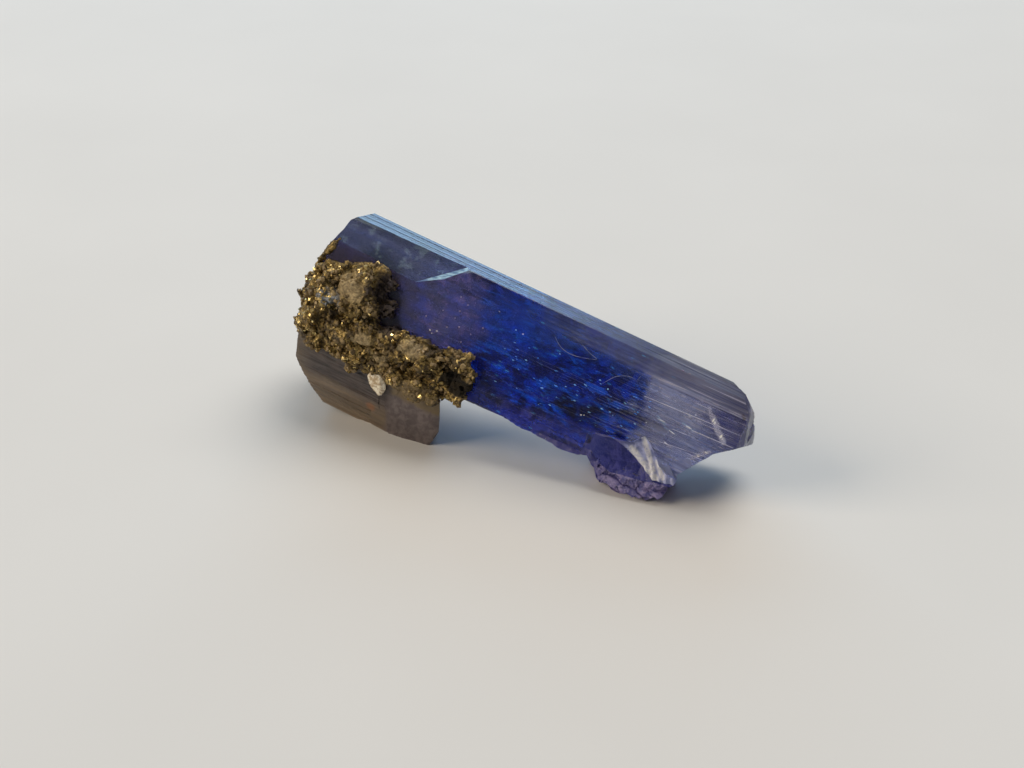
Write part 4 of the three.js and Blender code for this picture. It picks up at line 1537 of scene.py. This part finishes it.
def seat(body, neighbours):
    """Closes the crust's gaps to its neighbours, and marks where the crust lies open."""
    points = points_of(body.data)
    open_share = np.ones(len(points))
    for i, vertex in enumerate(body.data.vertices):
        for tree in neighbours:
            found, _, _, distance = tree.find_nearest(vertex.co, 0.9)
            if found is None:
                continue
            towards = found - vertex.co
            faces_it = towards.dot(vertex.normal) > 0.25 * distance
            if faces_it or distance < BARE_EDGE:
                open_share[i] = 0.0
            if faces_it and distance < SEAT_REACH:
                points[i] = found + towards.normalized() * SEAT_DEPTH
        shaded = any(nearness(vertex.co, *area) > 0 for area in [SHADED_HOLLOW] + DARK_BANDS)
        if (TO_WORLD @ vertex.co).z < 0.35 * MM or shaded:
            open_share[i] = 0.0
        if any(nearness(vertex.co, *lump) > 0 for lump in LUMPS):
            open_share[i] *= 0.15
    set_points(body.data, points)
    marks = body.data.attributes.new("open", "FLOAT", "POINT")
    marks.data.foreach_set("value", open_share)


# ---- The side crystals --------------------------------------------------------------------------

BLOCK_TOP = -3.0
BLOCK_HEIGHT = 4.95
BLOCK_FRONT = -3.0
BLOCK_BACK = 0.4
BLOCK_LAYERS = 44


def block_outline(along, rng):
    """The striated block's outline, going down its front and up its back, as rows of points."""
    widths = 0.3 + rng.random(BLOCK_LAYERS) ** 2
    edges = np.concatenate([[0], np.cumsum(widths)]) / widths.sum()
    rows = []
    for i in range(BLOCK_LAYERS):
        boldness = 0.006 + 0.026 * rng.random() ** 2
        out = boldness * (1 if i % 2 else -1) + growth_steps(along * 4.0, boldness, rng)
        for share in (STRIP_SLOPE, 1 - STRIP_SLOPE):
            down = edges[i] + share * (edges[i + 1] - edges[i])
            bulge = 0.55 * math.sin((0.08 + 0.92 * down) * math.pi)
            rows.append((BLOCK_TOP - down * BLOCK_HEIGHT, BLOCK_FRONT - bulge - out))
    for i in range(12):
        up = BLOCK_TOP - BLOCK_HEIGHT * (1 - i / 11)
        rows.append((up, np.full_like(along, BLOCK_BACK - 0.1 * (i % 2))))
    return rows


def striated_block():
    along = np.linspace(-0.5, 8.0, 50)
    rows = block_outline(along, np.random.default_rng(53))
    points = np.empty((len(along), len(rows), 3))
    for j, (height, depth) in enumerate(rows):
        points[:, j, 0] = along
        points[:, j, 1] = depth
        points[:, j, 2] = height
    block = lofted("block", points)
    ends = [
        break_cutter((0.35, -1.3, -4.4), (-1, -0.15, -0.08), relief=0.12, seed=51, half=6),
        break_cutter((0.9, -1.3, -5.7), (-0.8, -0.1, -0.6), relief=0.14, seed=52, half=6),
        break_cutter((7.25, -1.3, -5.0), (1, -0.1, 0.08), relief=0.14, seed=53, half=6),
    ]
    return combined(block, "DIFFERENCE", ends)


FOOT_CORNERS = [
    (7.3, -3.4, -3.4), (7.5, -3.7, -5.2), (8.1, -3.6, -7.6), (8.9, -3.65, -7.6), (10.9, -3.6, -7.0),
    (11.4, -3.4, -5.6), (11.1, -3.4, -3.5), (10.4, -3.0, -3.0), (7.4, -0.3, -3.4),
    (7.6, -0.6, -7.6),
    (9.9, -1.2, -7.0), (9.6, -1.0, -3.2),
]


def side_crystal_shape(spare_crystal):
    """The block, its foot and the bridge between them, cut clear of the crystal and the ground."""
    body = striated_block()
    foot = rough_shard(FOOT_CORNERS, seed=61, relief=0.06, cuts=4, size=1.4)
    bridge = rough_shard(
        [(6.6, -3.48, -3.3), (6.6, -3.50, -7.3), (8.2, -3.50, -3.3), (8.2, -3.50, -7.5),
         (6.6, -0.6, -3.3), (6.6, -0.6, -7.3), (8.2, -0.6, -3.3), (8.2, -0.6, -7.5)],
        seed=62, relief=0.05,
    )
    combined(body, "UNION", [foot, bridge])
    combined(body, "DIFFERENCE", [spare_crystal, ground_cutter()])
    return body


def ivory_flake():
    """A small pale flake on the block's front, near its right end."""
    bm = bmesh.new()
    bmesh.ops.create_icosphere(bm, subdivisions=4, radius=1.0)
    lean = Matrix.Rotation(math.radians(-22), 4, "Y")
    for vertex in bm.verts:
        out = vertex.co.copy()
        reach = 1.0 + 0.22 * fractal(out, 0.7, 4)
        pointed = 1.0 - 0.25 * abs(out.z) ** 2
        vertex.co = Vector((0.62 * out.x * pointed, 0.24 * out.y, 0.86 * out.z)) * reach
    bm.transform(Matrix.Translation((6.80, -3.70, -3.86)) @ lean)
    return object_of("flake", bm)


# ---- Healed cracks and bright lines at the crystal's front face -----------------------------------

# Each: radius in millimetres, then the route as places along and up the front face.
HEALED_CRACKS = [
    (0.016, [(16.0, 3.1), (16.5, 2.6), (17.15, 2.2), (18.25, 2.2), (19.25, 2.5)]),
    (0.019, [(17.6, 3.1), (18.1, 2.97), (18.75, 2.65), (19.25, 2.55)]),
    (0.017, [(20.1, 1.4), (20.5, 1.95), (21.0, 2.28), (21.65, 2.45), (22.0, 2.3)]),
    (0.015, [(21.95, 2.35), (22.15, 2.9), (22.3, 3.4)]),
]
GROWTH_RIDGES = [
    (0.018, [(22.7, 1.74), (24.9, 1.80), (27.0, 1.86)]),
    (0.014, [(24.0, 0.66), (25.0, 0.72), (26.4, 0.80)]),
    (0.015, [(24.5, -0.22), (26.0, -0.06), (27.2, 0.06)]),
    (0.020, [(26.0, 1.11), (27.2, 1.12), (28.5, 1.14)]),
]


# Sparks at the front face: place along it, place up it, length and height. The blue ones stand in
# for glints of light from inside the crystal, as painted highlights; the white ones are partly such
# highlights and partly cream specks and streaks; the pink ones are pink and tan specks.
BLUE_GLINT_PIECES = [
    (14.47, 0.55, 0.16, 0.07), (15.23, 0.86, 0.20, 0.07), (15.88, 1.24, 0.12, 0.06),
    (17.05, 1.96, 0.10, 0.07),
    (16.77, -0.21, 0.22, 0.07), (17.53, 0.22, 0.30, 0.08), (18.1, 0.42, 0.14, 0.06),
    (18.59, 0.72, 0.20, 0.09),
    (20.53, 1.27, 0.12, 0.10), (20.65, 0.12, 0.24, 0.08), (22.70, 0.79, 0.14, 0.10),
    (22.81, 0.12, 0.12, 0.07),
    (21.16, 0.15, 0.18, 0.07), (13.98, 2.18, 0.10, 0.06), (19.2, 0.95, 0.26, 0.06),
    (19.9, 1.55, 0.16, 0.05),
    (16.1, 0.1, 0.16, 0.05), (21.8, 0.95, 0.22, 0.06), (22.3, 1.5, 0.16, 0.06),
    (18.9, -0.1, 0.20, 0.05),
    (20.0, -0.35, 0.22, 0.05), (22.1, -0.3, 0.20, 0.06), (17.2, 1.0, 0.26, 0.05),
    (15.0, 0.2, 0.14, 0.05),
]
WHITE_GLINTS_AND_SPECKS = [
    (8.84, 0.15, 0.14, 0.10), (9.02, 0.02, 0.08, 0.07), (9.29, 0.26, 0.16, 0.08),
    (14.48, 2.13, 0.10, 0.07),
    (19.60, -0.68, 0.14, 0.08), (19.78, -0.62, 0.08, 0.06), (12.6, 2.75, 0.07, 0.05),
    (10.0, 2.62, 0.07, 0.05),
    (23.4, 0.45, 0.09, 0.07), (25.6, 1.75, 0.16, 0.05), (25.9, 1.95, 0.10, 0.06),
    (24.5, 2.2, 0.14, 0.04),
    (24.20, 0.90, 0.55, 0.09), (25.0, 0.55, 0.50, 0.06), (25.80, 1.17, 0.50, 0.08),
    (24.9, -0.14, 0.26, 0.08),
    (26.95, 2.08, 0.12, 0.30), (27.08, 1.98, 0.14, 0.20), (27.72, 1.45, 0.16, 0.26),
    (27.85, 1.34, 0.10, 0.14),
    (26.95, -0.05, 0.22, 0.10), (27.3, 0.32, 0.24, 0.12),
]
PINK_SPARKS = [
    (10.24, 1.86, 0.13, 0.11), (9.81, 0.71, 0.11, 0.09), (10.54, 1.0, 0.12, 0.10),
    (11.99, 1.51, 0.13, 0.11),
    (10.99, 0.26, 0.09, 0.08), (10.1, 1.38, 0.08, 0.07), (10.59, 2.36, 0.10, 0.08),
    (8.3, 0.8, 0.10, 0.08),
    (9.2, 1.5, 0.08, 0.07), (11.4, 0.9, 0.08, 0.07), (24.16, 4.4, 0.22, 0.08),
    (24.59, 4.35, 0.14, 0.07),
    (25.49, 4.3, 0.16, 0.06),
]


def sparks(places, tree):
    """Small flat plates half sunk in the front face: pale specks, and bright ones that stand in for glints
    as painted highlights.
    """
    bm = bmesh.new()
    rng = random.Random(len(places))
    lean = Matrix.Rotation(math.atan(FRONT_SLOPE), 4, "X").inverted()
    for x, z, length, height in places:
        found = tree.find_nearest(front_point(x, z))[0]
        spin = Matrix.Rotation(rng.uniform(-0.25, 0.25), 4, "Y")
        size = Matrix.Diagonal((0.5 * length, 0.025, 0.5 * height, 1.0))
        place = Matrix.Translation(found) @ lean @ spin @ size
        bmesh.ops.create_icosphere(bm, subdivisions=1, radius=1.0, matrix=place)
    return object_of("sparks", bm)


def surface_threads(routes, tree):
    """Thin tapering threads that lie half sunk in the crystal's surface."""
    curve = bpy.data.curves.new("threads", "CURVE")
    curve.dimensions = "3D"
    curve.bevel_depth = 1.0
    curve.bevel_resolution = 2
    curve.use_fill_caps = True
    for radius, route in routes:
        spline = curve.splines.new("NURBS")
        spline.points.add(len(route) - 1)
        for k, (point, (x, z)) in enumerate(zip(spline.points, route)):
            found = tree.find_nearest(front_point(x, z))[0]
            point.co = (*found, 1.0)
            point.radius = radius * (0.4 if k in (0, len(route) - 1) else 1.0)
        spline.use_endpoint_u = True
        spline.order_u = 3
    return baked_curve("threads", curve)


def keep_inside(body, tree, least_depth=0.01):
    """Takes out the loose parts that are not wholly this deep or deeper in the crystal."""
    bm = bmesh.new()
    bm.from_mesh(body.data)
    outside = set()
    for vertex in bm.verts:
        found, normal, _, _ = tree.find_nearest(vertex.co)
        if (vertex.co - found).dot(normal) > -least_depth:
            outside.add(vertex)
    waiting = list(outside)
    while waiting:
        for edge in waiting.pop().link_edges:
            for vertex in edge.verts:
                if vertex not in outside:
                    outside.add(vertex)
                    waiting.append(vertex)
    bmesh.ops.delete(bm, geom=list(outside), context="VERTS")
    bm.to_mesh(body.data)
    bm.free()
    return body


def baked_curve(name, curve):
    source = linked(name + "_curve", curve)
    evaluated = source.evaluated_get(bpy.context.evaluated_depsgraph_get())
    mesh = bpy.data.meshes.new_from_object(evaluated)
    bpy.data.objects.remove(source)
    return linked(name, mesh)


# ---- The stage ----------------------------------------------------------------------------------


def floor():
    bm = bmesh.new()
    bmesh.ops.create_grid(bm, x_segments=1, y_segments=1, size=3.0)
    made = object_of("floor", bm)
    material, graph, shader = new_material("pale_floor", Roughness=0.8)
    place = graph.add("ShaderNodeTexCoord").outputs["Object"]
    tone = graph.noise(place, 40.0, 3.0)
    graph.feed(
        shader["Base Color"], graph.colour(tone, rgba(0.66, 0.65, 0.63), rgba(0.72, 0.71, 0.69))
    )
    made.data.materials.append(material)


def softbox(name, place, aim, width, height, watts, colour):
    lamp = bpy.data.lights.new(name, "AREA")
    lamp.shape = "RECTANGLE"
    lamp.size, lamp.size_y = width, height
    lamp.energy = watts
    lamp.color = colour
    made = bpy.data.objects.new(name, lamp)
    made.location = place
    made.rotation_euler = (Vector(aim) - Vector(place)).to_track_quat("-Z", "Y").to_euler()
    bpy.context.scene.collection.objects.link(made)


def lights():
    world = bpy.data.worlds.new("studio")
    world.use_nodes = True
    world.node_tree.nodes["Background"].inputs["Color"].default_value = (0.85, 0.88, 0.95, 1.0)
    world.node_tree.nodes["Background"].inputs["Strength"].default_value = 0.12
    bpy.context.scene.world = world
    bpy.context.scene.view_settings.view_transform = "Standard"
    softbox("window_behind", (-0.50, 0.68, 0.33), (0, 0, 0.004), 0.9, 0.55, 4.4, (0.44, 0.72, 1.0))
    softbox("overhead", (0.12, 0.36, 0.72), (0, 0, 0), 0.6, 0.6, 4.6, (1.0, 0.96, 0.90))
    softbox("warm_fill", (-0.42, -0.30, 0.30), (0, 0, 0.005), 0.3, 0.3, 2.0, (1.0, 0.86, 0.68))


def camera():
    """Looks at the stone from the front right, 31 degrees above the floor."""
    turn, rise = math.radians(27), math.radians(31)
    back = Vector(
        (math.sin(turn) * math.cos(rise), -math.cos(turn) * math.cos(rise), math.sin(rise))
    )
    data = bpy.data.cameras.new("camera")
    data.lens = 49.2
    made = bpy.data.objects.new("camera", data)
    made.location = (Vector((0.081, -0.078, 3.7)) + back * 87.0) * MM
    made.rotation_mode = "QUATERNION"
    made.rotation_quaternion = (-back).to_track_quat("-Z", "Y")
    data.clip_start = 0.001
    bpy.context.scene.collection.objects.link(made)
    bpy.context.scene.camera = made


# ---- Assembly -----------------------------------------------------------------------------------


def dress_crystal():
    body = tanzanite_shape()
    tree = tree_of(body)
    spare = linked("spare", body.data.copy())
    in_place(body, 35)
    finished(body, "tanzanite_prism", "tanzanite", tanzanite_material(), frosted_material())
    frost(body)
    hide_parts("tanzanite_crystal")
    return tree, spare


def dress_side_crystals(spare_crystal):
    body = side_crystal_shape(spare_crystal)
    tree = tree_of(body)
    in_place(body, 35)
    finished(body, "smoky_side_crystals", "smoky_crystal", smoky_material())
    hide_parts("side_crystals")
    flake = in_place(ivory_flake(), 40)
    finished(flake, "ivory_flake", "smoky_crystal", ivory_material())
    return tree


def dress_crust(neighbours):
    rock = roughened_rock(neighbours)
    seat(rock, neighbours)
    # Each: name, shape, density, bareness, smallest, largest, seed, material.
    scatter = [
        ("brassy_grains", "grain", 11.0, 0.50, 0.07, 0.25, 21,
         grain_material("brassy_grains", rgba(0.20, 0.13, 0.045), rgba(0.80, 0.60, 0.25), 0.75, 0.25, 0.5)),
        ("brown_grains", "grain", 10.0, 0.48, 0.08, 0.30, 22,
         grain_material("brown_grains", rgba(0.045, 0.029, 0.012), rgba(0.34, 0.24, 0.11), 0.1, 0.4, 0.7)),
        ("pyrite_cubes", "cube", 1.8, 0.46, 0.05, 0.16, 23,
         grain_material("pyrite_cubes", rgba(0.40, 0.28, 0.09), rgba(0.95, 0.76, 0.34), 1.0, 0.10, 0.28)),
    ]
    trees = {kind: grain_tree("strewn_" + kind, kind) for kind in ("grain", "cube")}
    for name, kind, density, bareness, smallest, largest, seed, material in scatter:
        values = {
            "Density": density, "Bareness": bareness, "Smallest": smallest, "Largest": largest,
            "Seed": seed, "Material": material,
        }
        grains = run_tree(name, trees[kind], values, rock.data)
        in_place(grains, 20)
        finished(grains, name, "brassy_matrix", material)
    in_place(rock, 45)
    finished(rock, "matrix_rock", "brassy_matrix", rock_material())
    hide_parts("matrix_crust")


def dress_inside(tree):
    """What shows in the crystal: bright flakes, a pale mist, needles and healed cracks."""
    start = bpy.data.meshes.new("start")
    strewn = cloud_tree("strewn_inside")
    flakes = inner_flake_material()
    pale = pale_inclusion_material(
        "pale_inclusions", rgba(0.62, 0.50, 0.60), rgba(0.92, 0.86, 0.86)
    )
    blue = pale_inclusion_material("blue_sparks", rgba(0.02, 0.22, 0.95), rgba(0.35, 0.70, 1.0))
    white = pale_inclusion_material("white_sparks", rgba(0.72, 0.74, 0.86), rgba(1.0, 0.98, 0.96))
    pink = pale_inclusion_material("pink_sparks", rgba(0.30, 0.24, 0.40), rgba(0.58, 0.48, 0.58))
    lilac = pale_inclusion_material("growth_edges", rgba(0.22, 0.22, 0.36), rgba(0.80, 0.76, 0.80))
    # Each: name, material, how deep it must lie in the crystal, and the tree's inputs.
    clouds = [
        ("inner_flakes", flakes, 0.01, {
            "Count": 460, "Lowest": (12.0, 0.15, -2.2), "Highest": (23.4, 2.6, 2.0),
            "Turn": (3.1, 0.35, 0.35), "Smallest": (0.10, 0.02, 0.02),
            "Largest": (0.60, 0.05, 0.14), "Seed": 1,
        }),
        # Pale blue plates at the surface that stand in for glints of light: painted highlights made as
        # pieces.
        ("surface_glints", blue, -0.08, {
            "Count": 44, "Lowest": (13.5, -0.01, -1.4), "Highest": (23.4, 0.02, 1.7),
            "Turn": (0.1, 0.1, 0.35), "Smallest": (0.04, 0.02, 0.02), "Largest": (0.24, 0.05, 0.05),
            "Seed": 4,
        }),
        ("growth_edges", lilac, -0.07, {
            "Count": 150, "Lowest": (23.0, 0.0, -1.6), "Highest": (28.0, 0.025, 3.0),
            "Turn": (0.0, 0.0, 0.012), "Smallest": (0.3, 0.015, 0.010),
            "Largest": (2.6, 0.03, 0.030), "Seed": 6,
        }),
        ("pale_mist", pale, 0.01, {
            "Count": 500, "Lowest": (7.0, 0.10, -1.2), "Highest": (13.5, 2.4, 2.6),
            "Turn": (3.1, 3.1, 3.1), "Smallest": (0.02, 0.02, 0.02), "Largest": (0.10, 0.06, 0.06),
            "Seed": 2,
        }),
        ("needles", pale, 0.01, {
            "Count": 130, "Lowest": (22.6, 0.20, -1.8), "Highest": (27.4, 2.6, 2.6),
            "Turn": (0.0, 0.02, 0.02), "Smallest": (0.4, 0.015, 0.015),
            "Largest": (3.0, 0.04, 0.04), "Seed": 3,
        }),
    ]
    for name, material, least_depth, values in clouds:
        cloud = run_tree(name, strewn, {**values, "Material": material}, start)
        keep_inside(cloud, tree, least_depth)
        in_place(cloud, 20)
        finished(cloud, name, "tanzanite", material)
    # The blue and most white sparks are painted highlights made as pieces.
    for name, places, material in (
        ("blue_sparks", BLUE_GLINT_PIECES, blue), ("white_sparks", WHITE_GLINTS_AND_SPECKS, white),
        ("pink_sparks", PINK_SPARKS, pink),
    ):
        finished(in_place(sparks(places, tree), 20), name, "tanzanite", material)
    threads = in_place(surface_threads(HEALED_CRACKS, tree), 60)
    trace = pale_inclusion_material("crack_trace", rgba(0.08, 0.11, 0.26), rgba(0.28, 0.30, 0.42))
    finished(threads, "healed_cracks", "tanzanite", trace)
    ridges = in_place(surface_threads(GROWTH_RIDGES, tree), 60)
    finished(ridges, "growth_ridges", "tanzanite", white)


crystal_tree, spare_crystal = dress_crystal()
side_tree = dress_side_crystals(spare_crystal)
dress_crust([crystal_tree, side_tree])
dress_inside(crystal_tree)
for unused in [item for item in bpy.data.objects if item.name.endswith("_copy")]:
    bpy.data.objects.remove(unused)
floor()
lights()
camera()
